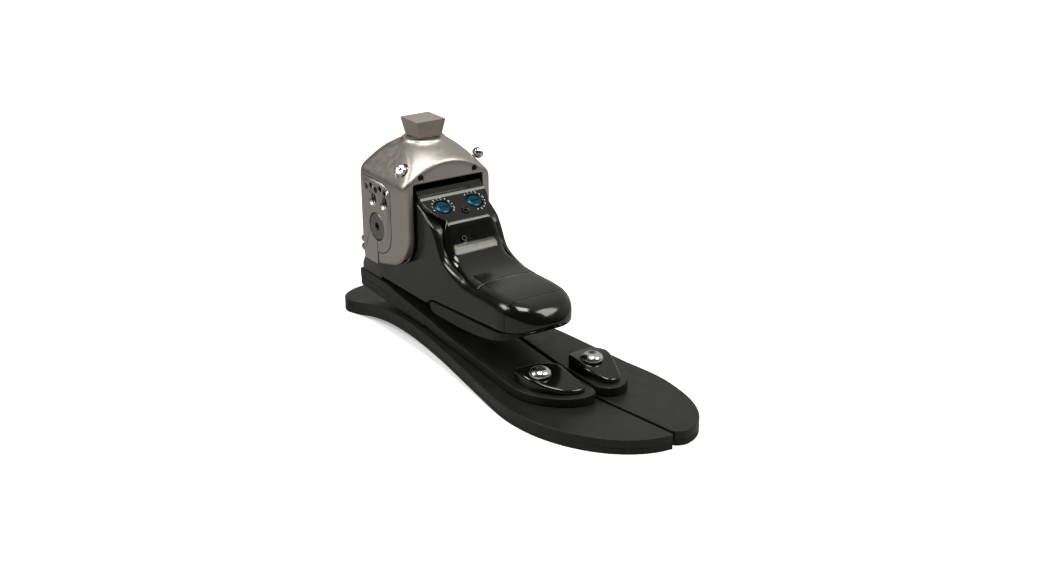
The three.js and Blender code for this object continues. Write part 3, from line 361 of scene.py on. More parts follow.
def upright(radius, low, high, x=0, y=0, steps=40):
    return rod(radius, low, high, Vector((x, y, 0)), "z", steps)


def bore(obj, radius, low, high, points):
    """Cuts the same upright hole at each (x, y)."""
    return cut(obj, *[upright(radius, low, high, x, y) for x, y in points])


def across(sign, near, far):
    """The two x values that lie near and far from the middle on one side, the lower one first."""
    return sorted((sign * near, sign * far))


def mirrored(vector, sign):
    return Vector((sign * vector.x, vector.y, vector.z))


def shown_mesh(obj):
    """A mesh of what an object shows, with its modifiers or from its curve."""
    bpy.context.view_layer.update()
    shown = obj.evaluated_get(bpy.context.evaluated_depsgraph_get())
    return bpy.data.meshes.new_from_object(shown)


def bake_modifiers(obj):
    mesh = shown_mesh(obj)
    obj.modifiers.clear()
    obj.data = mesh
    return obj


def combine(obj, other, operation):
    change = obj.modifiers.new(operation, "BOOLEAN")
    change.operation = operation
    change.solver = "MANIFOLD"
    change.object = other
    bake_modifiers(obj)
    bpy.data.objects.remove(other)
    return obj


def cut(obj, *cutters):
    for cutter in cutters:
        combine(obj, cutter, "DIFFERENCE")
    return obj


def join(obj, *others):
    for other in others:
        combine(obj, other, "UNION")
    return obj


def soften(obj, voxel, passes, keep=1.0):
    """Rounds every edge a little: rebuilds the surface in small cells and smooths it."""
    remesh = obj.modifiers.new("cells", "REMESH")
    remesh.mode = "VOXEL"
    remesh.voxel_size = voxel
    smooth = obj.modifiers.new("smooth", "SMOOTH")
    smooth.factor = 0.5
    smooth.iterations = passes
    if keep < 1:
        fewer = obj.modifiers.new("fewer", "DECIMATE")
        fewer.ratio = keep
    bake_modifiers(obj)
    obj.data.shade_smooth()
    return obj


def crisp(obj, angle=35, bevel=0.0, steps=2):
    """Shades round parts smooth and keeps edges sharp, with a small bevel on them if one is given."""
    if bevel:
        edge = obj.modifiers.new("edge", "BEVEL")
        edge.width = bevel
        edge.segments = steps
        edge.limit_method = "ANGLE"
        edge.angle_limit = radians(angle)
        bake_modifiers(obj)
    obj.data.shade_smooth()
    obj.data.set_sharp_from_angle(angle=radians(angle))
    even = obj.modifiers.new("even", "WEIGHTED_NORMAL")
    even.keep_sharp = True
    return bake_modifiers(obj)


def wear(obj, material):
    obj.data.materials.clear()
    obj.data.materials.append(MATERIALS[material])


def place(obj, name, slot, *nodes, body="foot", look=None):
    """Puts a finished piece, made in millimetres, into the frame, names it and hides the CAD nodes that it
    stands for.

    It wears its slot's own material, unless another look is named.
    """
    obj.data.transform(Matrix.Translation(AXIS) @ Matrix.Scale(MM, 4))
    obj.name = name
    wear(obj, look or slot)
    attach(obj, body)
    if nodes:
        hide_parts(*nodes)
    return obj


# ---- materials
class Paint:
    """A principled material and short ways to add texture to it."""

    def __init__(self, name, color, roughness, metallic=0.0):
        self.material = bpy.data.materials.new(name)
        self.material.use_nodes = True
        self.tree = self.material.node_tree
        self.shader = self.tree.nodes["Principled BSDF"]
        self.set("Base Color", (*color, 1)).set("Roughness", roughness).set("Metallic", metallic)
        self.coords = self.node("TexCoord").outputs["Object"]

    def node(self, kind):
        return self.tree.nodes.new("ShaderNode" + kind)

    def set(self, socket, value):
        self.shader.inputs[socket].default_value = value
        return self

    def link(self, source, target):
        self.tree.links.new(source, target)

    def math(self, operation, a, b=None):
        node = self.node("Math")
        node.operation = operation
        for socket, value in zip(node.inputs, (a, b)):
            if value is None:
                continue
            if isinstance(value, (int, float)):
                socket.default_value = value
            else:
                self.link(value, socket)
        return node.outputs[0]

    def noise(self, size_mm, detail=3.0, stretch=(1, 1, 1)):
        """Soft blotches about size_mm across, longer along an axis where stretch is below 1."""
        mapping = self.node("Mapping")
        mapping.inputs["Scale"].default_value = stretch
        node = self.node("TexNoise")
        node.inputs["Scale"].default_value = 1 / (size_mm * MM)
        node.inputs["Detail"].default_value = detail
        self.link(self.coords, mapping.inputs["Vector"])
        self.link(mapping.outputs["Vector"], node.inputs["Vector"])
        return node.outputs["Fac"]

    def between(self, value, low, high, out_low, out_high):
        """The value, taken from the range low to high into the range out_low to out_high."""
        node = self.node("MapRange")
        ends = {"From Min": low, "From Max": high, "To Min": out_low, "To Max": out_high}
        for name, number in ends.items():
            node.inputs[name].default_value = number
        self.link(value, node.inputs["Value"])
        return node.outputs["Result"]

    def stained(self, value, color, dark, light):
        """The colour times something between dark and light, as the value goes from 0 to 1."""
        return self.color_between(value, [dark * c for c in color], [light * c for c in color])

    def color_between(self, value, dark, light):
        node = self.node("Mix")
        node.data_type = "RGBA"
        node.inputs["A"].default_value = (*dark, 1)
        node.inputs["B"].default_value = (*light, 1)
        self.link(value, node.inputs["Factor"])
        self.link(node.outputs["Result"], self.shader.inputs["Base Color"])
        return self

    def roughness_between(self, value, low, high):
        self.link(self.between(value, 0.35, 0.65, low, high), self.shader.inputs["Roughness"])
        return self

    def bump(self, value, strength, depth_mm):
        node = self.node("Bump")
        node.inputs["Strength"].default_value = strength
        node.inputs["Distance"].default_value = depth_mm * MM
        self.link(value, node.inputs["Height"])
        self.link(node.outputs["Normal"], self.shader.inputs["Normal"])
        return self

    def axis(self, name):
        split = self.node("SeparateXYZ")
        self.link(self.coords, split.inputs[0])
        return split.outputs[name]


# the slightly warm tint of every shine on the black parts
WARM = (1, 1, 0.86, 1)


def carbon_material():
    """Woven carbon under a thin satin resin: a two-over-two twill of tows 1.8 mm wide."""
    paint = Paint("carbon_weave", (0.03, 0.03, 0.028), 0.42)
    tow = 1 / (1.8 * MM)
    u = paint.math("MULTIPLY", paint.axis("X"), tow)
    v = paint.math("MULTIPLY", paint.axis("Y"), tow)
    step = paint.math("ADD", paint.math("FLOOR", u), paint.math("FLOOR", v))
    over = paint.math("LESS_THAN", paint.math("FLOORED_MODULO", step, 4), 1.5)
    across = paint.math("ABSOLUTE", paint.math("SINE", paint.math("MULTIPLY", u, pi)))
    along = paint.math("ABSOLUTE", paint.math("SINE", paint.math("MULTIPLY", v, pi)))
    warp = paint.math("MULTIPLY", across, over)
    weft = paint.math("MULTIPLY", along, paint.math("SUBTRACT", 1, over))
    tows = paint.math("ADD", warp, weft)
    clouds = paint.noise(9, 4)
    shade = paint.math("ADD", paint.math("MULTIPLY", tows, 0.35), paint.math("MULTIPLY", clouds, 0.65))
    paint.color_between(shade, (0.004, 0.004, 0.0034), (0.0105, 0.0103, 0.009))
    paint.roughness_between(clouds, 0.36, 0.48)
    paint.bump(paint.math("ADD", paint.math("MULTIPLY", tows, 0.4), paint.noise(0.5, 2)), 0.12, 0.05)
    paint.set("Specular IOR Level", 0.32).set("Specular Tint", WARM)
    return paint.material


def rubber_material(name="pad_rubber", color=(0.0045, 0.0044, 0.0038)):
    paint = Paint(name, color, 0.7)
    grain = paint.noise(0.7, 6)
    paint.stained(paint.noise(6, 5), color, 0.6, 1.7)
    paint.roughness_between(grain, 0.6, 0.82)
    paint.bump(grain, 0.35, 0.08)
    paint.set("Specular Tint", WARM)
    return paint.material


def black_anodised_material():
    """Hard black anodising: satin, with very fine grain and slow changes in gloss."""
    paint = Paint("black_anodised", (0.004, 0.004, 0.0034), 0.2)
    paint.color_between(paint.noise(14, 4), (0.0034, 0.0034, 0.0028), (0.006, 0.0059, 0.005))
    paint.roughness_between(paint.noise(5, 5), 0.17, 0.25)
    paint.bump(paint.noise(0.35, 3), 0.06, 0.03)
    paint.set("Specular IOR Level", 0.42).set("Specular Tint", WARM)
    return paint.material


def gloss_black_material():
    paint = Paint("gloss_black", (0.0024, 0.0024, 0.002), 0.12)
    paint.color_between(paint.noise(10, 4), (0.0018, 0.0018, 0.0015), (0.0036, 0.0035, 0.003))
    paint.roughness_between(paint.noise(4, 5), 0.1, 0.16)
    paint.bump(paint.noise(1.6, 3), 0.05, 0.02)
    paint.set("Specular Tint", WARM)
    return paint.material


def blasted_aluminium_material(name, color, roughness):
    """Bead-blasted aluminium: a fine pebbled skin with soft stains of handling."""
    paint = Paint(name, color, roughness, 1.0)
    paint.stained(paint.noise(11, 5), color, 0.92, 1.07)
    paint.roughness_between(paint.noise(3, 4), roughness - 0.03, roughness + 0.04)
    paint.bump(paint.noise(0.28, 4), 0.28, 0.05)
    return paint.material


def machined_material(name, color, roughness, scratch=0.12):
    """Turned or milled metal: fine lines of a cutter and slight stains."""
    paint = Paint(name, color, roughness, 1.0)
    lines = paint.noise(0.25, 3, (1, 1, 0.08))
    paint.stained(paint.noise(4, 5), color, 0.8, 1.1)
    paint.roughness_between(lines, roughness - 0.05, roughness + 0.08)
    paint.bump(lines, scratch, 0.03)
    return paint.material


def blue_anodised_material():
    paint = Paint("blue_anodised", (0.001, 0.045, 0.08), 0.28, 0.7)
    paint.color_between(paint.noise(2.2, 3), (0.001, 0.035, 0.065), (0.002, 0.06, 0.1))
    paint.roughness_between(paint.noise(0.6, 4), 0.22, 0.34)
    paint.bump(paint.noise(0.2, 3), 0.1, 0.02)
    return paint.material


def mark_material():
    paint = Paint("mark_paint", (0.62, 0.61, 0.58), 0.6)
    paint.color_between(paint.noise(0.5, 4), (0.5, 0.49, 0.46), (0.72, 0.71, 0.68))
    paint.bump(paint.noise(0.15, 2), 0.2, 0.02)
    return paint.material


MATERIALS = {
    "carbon": carbon_material(),
    "pad_rubber": rubber_material(),
    "seal_rubber": rubber_material("seal_rubber", (0.015, 0.015, 0.014)),
    "black_anodised": black_anodised_material(),
    "gloss_black": gloss_black_material(),
    "satin_aluminium": blasted_aluminium_material("blasted_aluminium", (0.44, 0.402, 0.35), 0.39),
    "pyramid_metal": machined_material("pyramid_metal", (0.42, 0.37, 0.325), 0.62),
    "dark_steel": machined_material("dark_steel", (0.05, 0.045, 0.04), 0.38),
    "bright_steel": machined_material("bright_steel", (0.68, 0.67, 0.65), 0.16, 0.05),
    "blue_anodised": blue_anodised_material(),
    "bronze": machined_material("bearing_bronze", (0.42, 0.24, 0.09), 0.34),
    "marks": mark_material(),
    "pin": machined_material("pin_steel", (0.21, 0.195, 0.175), 0.42),
}


# ---- sole and springs
ARCH = [
    (65.4, 0), (48, 0), (36, 0.3), (20, 3.4), (5, 5.7), (-10, 6.5), (-30, 6), (-60, 3.9),
    (-90, 1.7), (-118, 0), (-135, 0), (-201.4, 0),
]
arch_height = height_along(ARCH)


def arch(x, y):
    return max(arch_height(y), 0)


def slot_x(y, side):
    """The edge of the toe slot at y, on the lateral (-1) or medial (1) side."""
    return SLOT_END[0] + (SLOT_END[1] - y) * SLOT_LEAN + side * SLOT_HALF_WIDTH


def sole_outline():
    lateral = [
        (-6, 59.4), (-17, 57.2), (-25.5, 52), (-28.6, 45), (-26.6, 37), (-24.5, 24), (-24.1, 0),
        (-24.3, -28), (-25.6, -55), (-28.5, -86), (-31.4, -114), (-32.2, -130), (-30, -147),
        (-24.3, -163), (-15.5, -177), (-5, -187), (6, -193), (16.2, -195.3),
    ]
    medial = [
        (19.4, -193.2), (21.6, -194.5), (25.5, -195.4), (33, -193.2), (40, -187.5), (46, -178),
        (50.6, -164), (53, -144), (50.9, -122), (46.8, -96), (41.8, -70), (33.5, -42), (27, -14),
        (24.3, 8), (25, 30), (26.6, 45), (22, 54), (13, 58.4), (4, 59.4),
    ]
    near = [(slot_x(y, -1), y) for y in (-194.4, -160, -130, -100)]
    far = [(slot_x(y, 1), y) for y in (-100, -130, -160, -190.5)]
    end = arc(SLOT_END, 2 * SLOT_HALF_WIDTH, 220, -40, 12)
    return fine(spline(lateral, 150) + near + end + far + spline(medial, 160), 2.2)


def make_sole():
    outline = sole_outline()
    pad_top = lambda x, y: arch(x, y) + PAD_THICKNESS
    pad = slab("sole_pad", outline, arch, pad_top, 0.5, 0.3, 4)
    place(crisp(pad, 50), "rubber_sole", "pad_rubber", "sole_pad")
    plate_low = lambda x, y: arch(x, y) + PAD_THICKNESS + GAP / 3
    plate_top = lambda x, y: plate_low(x, y) + SOLE_THICKNESS + GAP * 2 / 3
    plate = slab("sole_plate", outline, plate_low, plate_top, 0.15, 0.35, 4)
    for x, y in TOE_BOLTS.values():
        cut(plate, upright(4, -5, 20, x, y), upright(6.3, -5, PAD_THICKNESS + 1.8, x, y))
    place(crisp(plate, 50), "carbon_sole", "carbon", "sole_plate")


SPRING_UNDER = [
    (SPRING_REAR_Y, 22.4), (14, 22.3), (2, 20.7), (-15, 18.4), (-35, 15.6), (-55, 12.7),
    (-75, 11.1), (-95, 9.7), (-118, 8.3), (-150, 8.2),
]
SPRING_TIP_THINNING = 0.7
under_spring = height_along(SPRING_UNDER)


def spring_bottom(x, y):
    return under_spring(y)


def spring_top(x, y):
    t = min(max((-y - 60) / 80, 0), 1)
    thin = SPRING_TIP_THINNING * t * t * (3 - 2 * t)
    return min(under_spring(y) + SPRING_THICKNESS - thin, BODY_FLOOR - GAP)


FORK_X = 11.4
FORK_END_Y = -74


def rear_corners(wide):
    """The chamfered rear corners that the spring and the wedge share."""
    rear = SPRING_REAR_Y
    return [(wide, rear - 0.8), (wide - 0.8, rear), (-wide + 0.8, rear), (-wide, rear - 0.8)]


def spring_outline():
    lateral = [
        (-SPRING_HALF_WIDTH, -60), (-22.3, -95), (-22.8, -113), (-20.9, -127), (-15.5, -137),
        (-7, -145), (1.4, -147.6), (7.6, -146.4), (10.2, -141),
    ]
    medial = [
        (12.6, -141), (16, -146), (21.5, -147.8), (28.5, -145.2), (34.5, -138), (39, -125),
        (39.6, -108), (35.2, -82), (27, -55), (SPRING_HALF_WIDTH, -30),
    ]
    fork = arc((FORK_X, FORK_END_Y), 2 * SLOT_HALF_WIDTH, 210, -30, 12)
    corners = rear_corners(SPRING_HALF_WIDTH)
    near = [(FORK_X - SLOT_HALF_WIDTH, -120), (FORK_X - SLOT_HALF_WIDTH, FORK_END_Y - 3)]
    far = [(FORK_X + SLOT_HALF_WIDTH, FORK_END_Y - 3), (FORK_X + SLOT_HALF_WIDTH, -120)]
    return fine(corners + spline(lateral, 80) + near + fork + far + spline(medial, 80), 2.2)


BODY_BOLTS = {
    "rear_lateral": (-13, 30), "rear_medial": (13, 30), "front_lateral": (-13, 8), "front_medial": (13, 8),
}


def make_springs():
    spring = slab("spring", spring_outline(), spring_bottom, spring_top, 0.4, 0.45, 3.5)
    bore(spring, TOE_BOLT_BORE, 0, 40, TOE_BOLTS.values())
    bore(spring, BODY_BOLT_BORE, 0, 40, BODY_BOLTS.values())
    place(crisp(spring, 50), "carbon_spring", "carbon", "upper_spring")

    wide = SPRING_HALF_WIDTH - 0.2
    plan = [(wide, -31)] + rear_corners(wide) + [(-wide, -31)]
    wedge_under = height_along([(SPRING_REAR_Y, 17.7), (10, 16.3), (-12, 15.7), (-31, 15.5)])
    wedge_low = lambda x, y: wedge_under(y)
    wedge_top = lambda x, y: max(under_spring(y) - GAP / 2, wedge_under(y) + 0.35)
    wedge = slab("wedge", fine(plan, 2.2), wedge_low, wedge_top, 0.15, 0.15, 3.5)
    bore(wedge, 4.1, 0, 40, BODY_BOLTS.values())
    place(crisp(wedge, 50), "carbon_heel_wedge", "carbon", "heel_wedge")


LATERAL_BOSS = [
    (0, 12.6), (-7, 12), (-8.6, 7), (-7.6, -2), (-3.6, -10.5), (3, -17), (9.5, -19.4),
    (14.2, -18.6), (15.4, -14), (15, -2), (14.2, 4.4), (9, 9.8), (0, 12.6),
]
MEDIAL_BOSS = [
    (0, 12.6), (-6, 11.6), (-8.2, 7), (-8.4, -4.3), (-6.6, -12.1), (-3.8, -18), (1, -19.3),
    (5.2, -16.8), (8.6, -9.6), (11.6, -2), (12.8, 5), (9, 11), (0, 12.6),
]
boss_height = height_along([(16, 5.4), (11, 5.9), (2, 6.4), (-8, 4.6), (-20, 1.9)])
TOE_HEAD_BASE = 8.2 + SPRING_THICKNESS - SPRING_TIP_THINNING + GAP + 5.2


def make_toe_parts():
    for side, rim in (("lateral", LATERAL_BOSS), ("medial", MEDIAL_BOSS)):
        x, y = TOE_BOLTS[side]
        outline = [(px + x, py + y) for px, py in spline(rim, 100)[:-1]]
        low = lambda px, py: spring_top(px, py) + GAP / 2
        top = lambda px, py: low(px, py) + boss_height(py - y)
        boss = slab("boss", outline, low, top, 0.15, 1.5, 1.2, 5)
        cut(boss, upright(6.3, TOE_HEAD_BASE, 60, x, y), upright(TOE_BOLT_BORE, 0, 60, x, y))
        place(crisp(boss, 50), f"toe_cap_{side}", "gloss_black", f"toe_boss_{side}")
        base = Vector((x, y, TOE_HEAD_BASE + GAP))
        bolt = button_bolt(base, radius=5.9, height=3.9, shank=2.5, length=TOE_HEAD_BASE - 5.4)
        place(bolt, f"toe_button_bolt_{side}", "bright_steel", f"toe_bolt_{side}")


# ---- screws
def button_bolt(base, radius, height, shank, length):
    """A round-topped bolt that stands on base, with a hexagon socket in its crown."""
    profile = [(0, 0), (radius - 0.3, 0), (radius, 0.3), (radius, 0.7)]
    dome_steps = 10
    crown = radians(68)
    for k in range(1, dome_steps + 1):
        a = crown * k / dome_steps
        rise = (height - 0.7) * sin(a) / sin(crown)
        profile.append((radius * cos(a), 0.7 + rise))
    profile.append((0, height))
    bolt = turned("bolt", profile, base, "z", 64)
    join(bolt, rod(shank, -length, 0.2, base, "z"))
    cut(bolt, rod(2.25, 1.2, 10, base, "z", 6))
    return crisp(bolt, 40, 0.12)


def cap_screw(base, axis, radius, height, shank, length, socket):
    """A straight-sided screw head with a chamfered rim and a hexagon socket."""
    rim = min(0.35, radius / 5)
    profile = [(0, 0), (radius, 0), (radius, height - rim), (radius - rim, height), (0, height)]
    screw = turned("screw", profile, base, axis, 48)
    join(screw, rod(shank, -length, 0.1, base, axis))
    cut(screw, rod(socket, height * 0.45, height + 2, base, axis, 6))
    return crisp(screw, 40, 0.06)


# ---- hydraulic body
DOWN = Vector((0, -cos(CONSOLE_TILT), -sin(CONSOLE_TILT)))
OUT = Vector((0, -sin(CONSOLE_TILT), cos(CONSOLE_TILT)))


def on_console(x, down, out=0.0):
    """A point on the console's plane, down along its slope and out along its normal."""
    return Vector((x, *CONSOLE_TOP)) + DOWN * down + OUT * out


CONSOLE_PLANE = Matrix.Translation(Vector((0, *CONSOLE_TOP))) @ Matrix(
    ((1, 0, 0, 0), (0, -DOWN.y, OUT.y, 0), (0, -DOWN.z, OUT.z, 0), (0, 0, 0, 1))
)

# the housing in side view: its crest turns round the pin inside the yoke, then runs down to the nose
CREST_RADIUS = 31.5
UNDER_LIP = on_console(0, CONSOLE_LENGTH - 2.6, -3.3)
body_crest = height_along(
    [(y, PIN.z + sqrt(CREST_RADIUS ** 2 - (y - PIN.y) ** 2))
     for y in (TOWER_REAR_Y, 16, 8, 0, -8, -13.9)]
    + [(-20.5, 86.4), (-27.1, 84.2), (-33.7, 79.9), (UNDER_LIP.y, UNDER_LIP.z), (-43, 73.4), (-44.4, 71.6)]
    + [(-46.3, 67.8), (-48.6, 63.4), (-51, 60.6), (-54.7, 58.4), (-60.2, 56.5), (-68, 55.3), (-78, 54.7)]
    + [(-98, 54.4), (-112, 52.5), (-119.4, 49.6), (-122.5, 46)], 400)
body_rounding = height_along(
    [(30, 1.2), (-30, 1.2), (-40, 1.4), (-44, 3.4), (-54, 3.6), (-62, 4.8), (-68, 6), (-75, 7), (-125, 7)])
body_underside = height_along(
    [(TOWER_REAR_Y, BODY_FLOOR), (0, BODY_FLOOR), (-28, BODY_FLOOR), (-33, 28.9), (-38, 32), (-45, 32.9)]
    + [(-70, 34.6), (-104, 37), (-113, 37.9), (-118, 38.8), (-121, 40.5), (-122.5, 42.6)], 300)


def body_outline():
    """Plan of the housing: a squarish half ellipse at the nose and round corners at the rear."""
    nose = []
    nose_steps = 40
    wide = BODY_HALF_WIDTH
    for k in range(nose_steps + 1):
        a = pi * (1 + k / nose_steps)
        out = copysign(abs(cos(a)) ** 0.9, cos(a))
        nose.append((wide * out, NOSE_BEND_Y + (NOSE_BEND_Y - NOSE_Y) * sin(a)))
    corner = 7.5
    right = arc((wide - corner, TOWER_REAR_Y - corner), corner, 0, 90, 8)
    left = arc((-wide + corner, TOWER_REAR_Y - corner), corner, 90, 180, 8)
    return fine(nose + right + left, 1.6)


LIP = on_console(0, CONSOLE_LENGTH)
cover_front = height_along(
    [(-42.3, 78.25), (-43.6, 77.4), (-44.6, 76.5), (-45.4, 75.3), (-46.1, 73.8), (-48.3, 69.5)]
    + [(-50.5, 65.5), (-53.9, 61.4), (-60, 58.2), (-68, 55.8), (-78, 54.9), (-84, 54.8)], 300)
cover_under = height_along(
    [(LIP.y + 1, 63), (-50, 57.5), (-58, 52), (-69, 52), (-73, 53.5), (-84, 53.6)], 100)


def cover_drop(x, y):
    """How far the body's rounded shoulder falls below its crest at this place."""
    radius = body_rounding(y)
    near_side = max(0, 1 - (BODY_HALF_WIDTH - abs(x)) / radius)
    return radius * (1 - sqrt(max(0, 1 - near_side ** 2)))


def cover_edge(y):
    """Rounding of the cover's long edges: wide beside the wall and the cove, fine at the nose."""
    return float(np.interp(-y, (42.4, 44.2, 46.2, 49, 58, 70), (0.2, 2.1, 3.9, 4.6, 4.6, 0.8)))


def cover_outline(start, grow):
    """Plan of the cover below the console, from the start to its curved end on the nose."""
    right = [(12.9, start), (14.8, -44.2), (16.6, -46.2), (17.3, -49), (17.3, -53), (17.3, -58)]
    right += [(17.6, -64), (18.2, -69), (18.8, -74.5), (19.2, -79)]
    end = [(18.8, -81.2), (15, -80.8), (8, -79.8), (0, -79.4)]
    half = [(x + grow, y) for x, y in spline(right, 40)]
    half += [(x + grow * x / 20, y - grow) for x, y in spline(end, 14)]
    return half + [(-x, y) for x, y in reversed(half[:-1])]


def body_blank():
    """Housing and nose in one: the shell, the foot block, the tower and the cylinder's boss."""
    crest = lambda x, y: body_crest(y)
    floor = lambda x, y: body_underside(y)
    body = slab("body", body_outline(), floor, crest, 2.6, body_rounding, 1.3, 8)
    wide = BODY_HALF_WIDTH
    base = [
        (BODY_REAR_Y, BODY_FLOOR), (BODY_REAR_Y, 31.5), (34, 37), (28.5, 41), (15, 41), (15, BODY_FLOOR),
    ]
    foot_block = prism("base", base, -wide, wide, "x")
    plan = [(-wide, 10), (wide, 10), (wide, 30), (wide - 1, 41.5), (1 - wide, 41.5), (-wide, 30)]
    combine(foot_block, prism("corners", plan, 20, 60), "INTERSECT")
    side = [(TOWER_REAR_Y, 40), (TOWER_REAR_Y, 84), (12, 84), (12, 40)]
    tower = prism("tower", side, -wide, wide, "x")
    boss = rod(11.6, 15, BODY_REAR_Y, CYLINDER, "y", 64)
    return join(body, crisp(foot_block), tower, boss)


def make_body():
    body = body_blank()
    cap = add_object("cap", body.data.copy())
    cut(body, block(-40, 40, -140, CAP_SEAM_Y + GAP / 2, 0, 130), cover_space(), manifold_space())
    half, radius = CRANK_ROOM_HALF_WIDTH, CRANK_ROOM_RADIUS
    cut(body, rod(BUSH_RADIUS, -30, 30, PIN, "x"), rod(radius, -half, half, PIN, "x"))
    cut(body, block(-half, half, PIN.y - 10.5, PIN.y + 10.5, CYLINDER.z, PIN.z))
    cut(body, rod(CYLINDER_RADIUS, -22, 50, CYLINDER, "y"), rod(RESERVOIR_RADIUS, -140, -74, RESERVOIR, "y"))
    for sign in SIDES.values():
        low, high = across(sign, 16, 30)
        valve = on_console(sign * KNOB_X, KNOB_DOWN)
        cut(body, rod(SHAFT_SEAL_RADIUS, low, high, PIN, "x"), rod(SPINDLE_BORE, -17, 10, valve, OUT))
    for at, out in ((on_console(*PLUG), OUT), (BLEED, BLEED_OUT)):
        cut(body, rod(OIL_SCREW_BORE, -9, 10, at, out))
    bore(body, BODY_BOLT_BORE, 0, 36, BODY_BOLTS.values())
    bore(body, SCREW_BORE, 0, 39.5, MANIFOLD_SCREWS)
    bore(body, SCREW_BORE, 0, 44, [CAP_SCREW])
    place(crisp(body, 38), "ankle_housing", "black_anodised", "hydraulic_body")
    make_nose_cap(cap)


def make_nose_cap(cap):
    """The front of the blank, with the spigot and seal groove that fit into the housing."""
    cut(cap, block(-40, 40, CAP_SEAM_Y - GAP / 2, 130, 0, 130), manifold_space())
    join(cap, rod(RESERVOIR_RADIUS - GAP, CAP_SEAM_Y - 1, CAP_SEAM_Y + 12, RESERVOIR, "y"))
    groove = [(5.3, 2), (9, 2), (9, 3.6), (5.3, 3.6), (5.3, 2)]
    cut(cap, turned("groove", groove, Vector((0, CAP_SEAM_Y, RESERVOIR.z)), "y"))
    bore(cap, SCREW_BORE, 0, 44, [CAP_SCREW])
    place(crisp(cap, 38), "rounded_nose", "gloss_black", "nose_cap")


def cover_space():
    """The space that the console cover fills, cut out of the body."""
    low = lambda x, y: cover_under(y) - cover_drop(x, y) - GAP
    high = lambda x, y: 90
    strip = slab("strip", fine(cover_outline(-38, GAP), 1.5), low, high, 0.1, 0.1, 2, 1)
    plan = [(-30, 4), (30, 4), (30, -CONSOLE_LENGTH - 1), (-30, -CONSOLE_LENGTH - 1)]
    return join(strip, prism("slab", plan, -CONSOLE_THICKNESS - GAP, 12, turn=CONSOLE_PLANE))


def manifold_space():
    """The recess that the cover plate under the housing's front fills."""
    side = [(-35.9, 30.2), (-38.2, 32.4), (-42, 32.95), (-70, 34.65), (-104, 36.75), (-113, 37.6)]
    side += [(-113, 20), (-35.9, 20)]
    return prism("space", side, -30, 30, "x")


def console_back():
    """The curved wall that rises behind the knobs, with a small step at its foot."""
    foot = on_console(0, 3)
    step = [(foot.y, foot.z - 0.05), (-29.2, 87.1), (-28.75, 87.7), (-28.1, 88.1)]
    wall = [(-26.6, 88.95), (-24.5, 90.7)]
    side = spline(step + wall, 40) + [(-23.8, 90.9)]
    for down, out in ((-2, -CONSOLE_THICKNESS), (0, -CONSOLE_THICKNESS), (3, -1)):
        point = on_console(0, down, out)
        side.append((point.y, point.z))
    return prism("back", side, -20.4, 20.4, "x")


def make_console():
    """The plate with the knobs' wells, and below its lip the front wall, the cove and the strip."""
    rim = [(-20.8, 0), (-20.2, -5), (-19, -9.4), (-16.4, -14.4), (-13.3, -18.3), (-12.8, -19.4)]
    left = spline(rim, 24)
    right = [(-x, d) for x, d in reversed(left)]
    cover = prism("plate", left + right, -CONSOLE_THICKNESS, 0, turn=CONSOLE_PLANE)
    front = lambda x, y: cover_front(y) - cover_drop(x, y)
    under = lambda x, y: cover_under(y) - cover_drop(x, y)
    strip = slab("strip", fine(cover_outline(-42.4, 0), 1.2), under, front, 0.1, cover_edge, 1.0, 5)
    inner = [(LIP.y - 0.4, LIP.z - 0.8), (LIP.y - 0.4, 64), (-40, 66), (-39, LIP.z)]
    join(cover, strip, prism("inner", inner, -12.4, 12.4, "x"))
    for sign in SIDES.values():
        at = on_console(sign * KNOB_X, KNOB_DOWN)
        cut(cover, rod(2.3, -10, 10, at, OUT), rod(KNOB_RADIUS + 0.35, -KNOB_WELL, 10, at, OUT, 64))
    for at, out, recess, through in ((on_console(*PLUG), OUT, 0.8, 10), (BLEED, BLEED_OUT, 0.6, 20)):
        cut(cover, rod(2.2, -recess, 10, at, out), rod(OIL_SCREW_BORE, -through, 10, at, out))
    soften(cover, 0.26, 6, 0.6)
    crisp(join(cover, console_back()), 40)
    place(cover, "console_and_cove", "gloss_black", "console_cover")
    make_dial_marks()


DIAL_RADIUS = 6.1
DIAL_START = {"lateral": 190, "medial": 125}
DIAL_STEP = -22.5
DIAL_MARKS = 11
DIGIT_HEIGHT = 1.6
FIGURE_SHARE = 0.72


def dot_mesh(centre):
    return turned("dot", [(0, -0.06), (0.36, -0.06), (0.36, 0.05), (0, 0.05)], centre, "z", 12)


def digit_mesh(text, centre):
    """A small figure, upside down to a viewer in front, like those on the real dials."""
    curve = bpy.data.curves.new("digit", "FONT")
    curve.body = text
    curve.size = DIGIT_HEIGHT / FIGURE_SHARE
    curve.extrude = 0.055
    curve.resolution_u = 3
    curve.align_x = "CENTER"
    curve.align_y = "CENTER"
    holder = add_object("digit", curve)
    bm = bmesh.new()
    bm.from_mesh(shown_mesh(holder))
    bpy.data.objects.remove(holder)
    bmesh.ops.remove_doubles(bm, verts=bm.verts, dist=0.002)
    half_turn = Matrix.Rotation(pi, 4, "Z")
    bmesh.ops.transform(bm, matrix=Matrix.Translation(centre) @ half_turn, verts=bm.verts)
    return new_object("digit", bm)


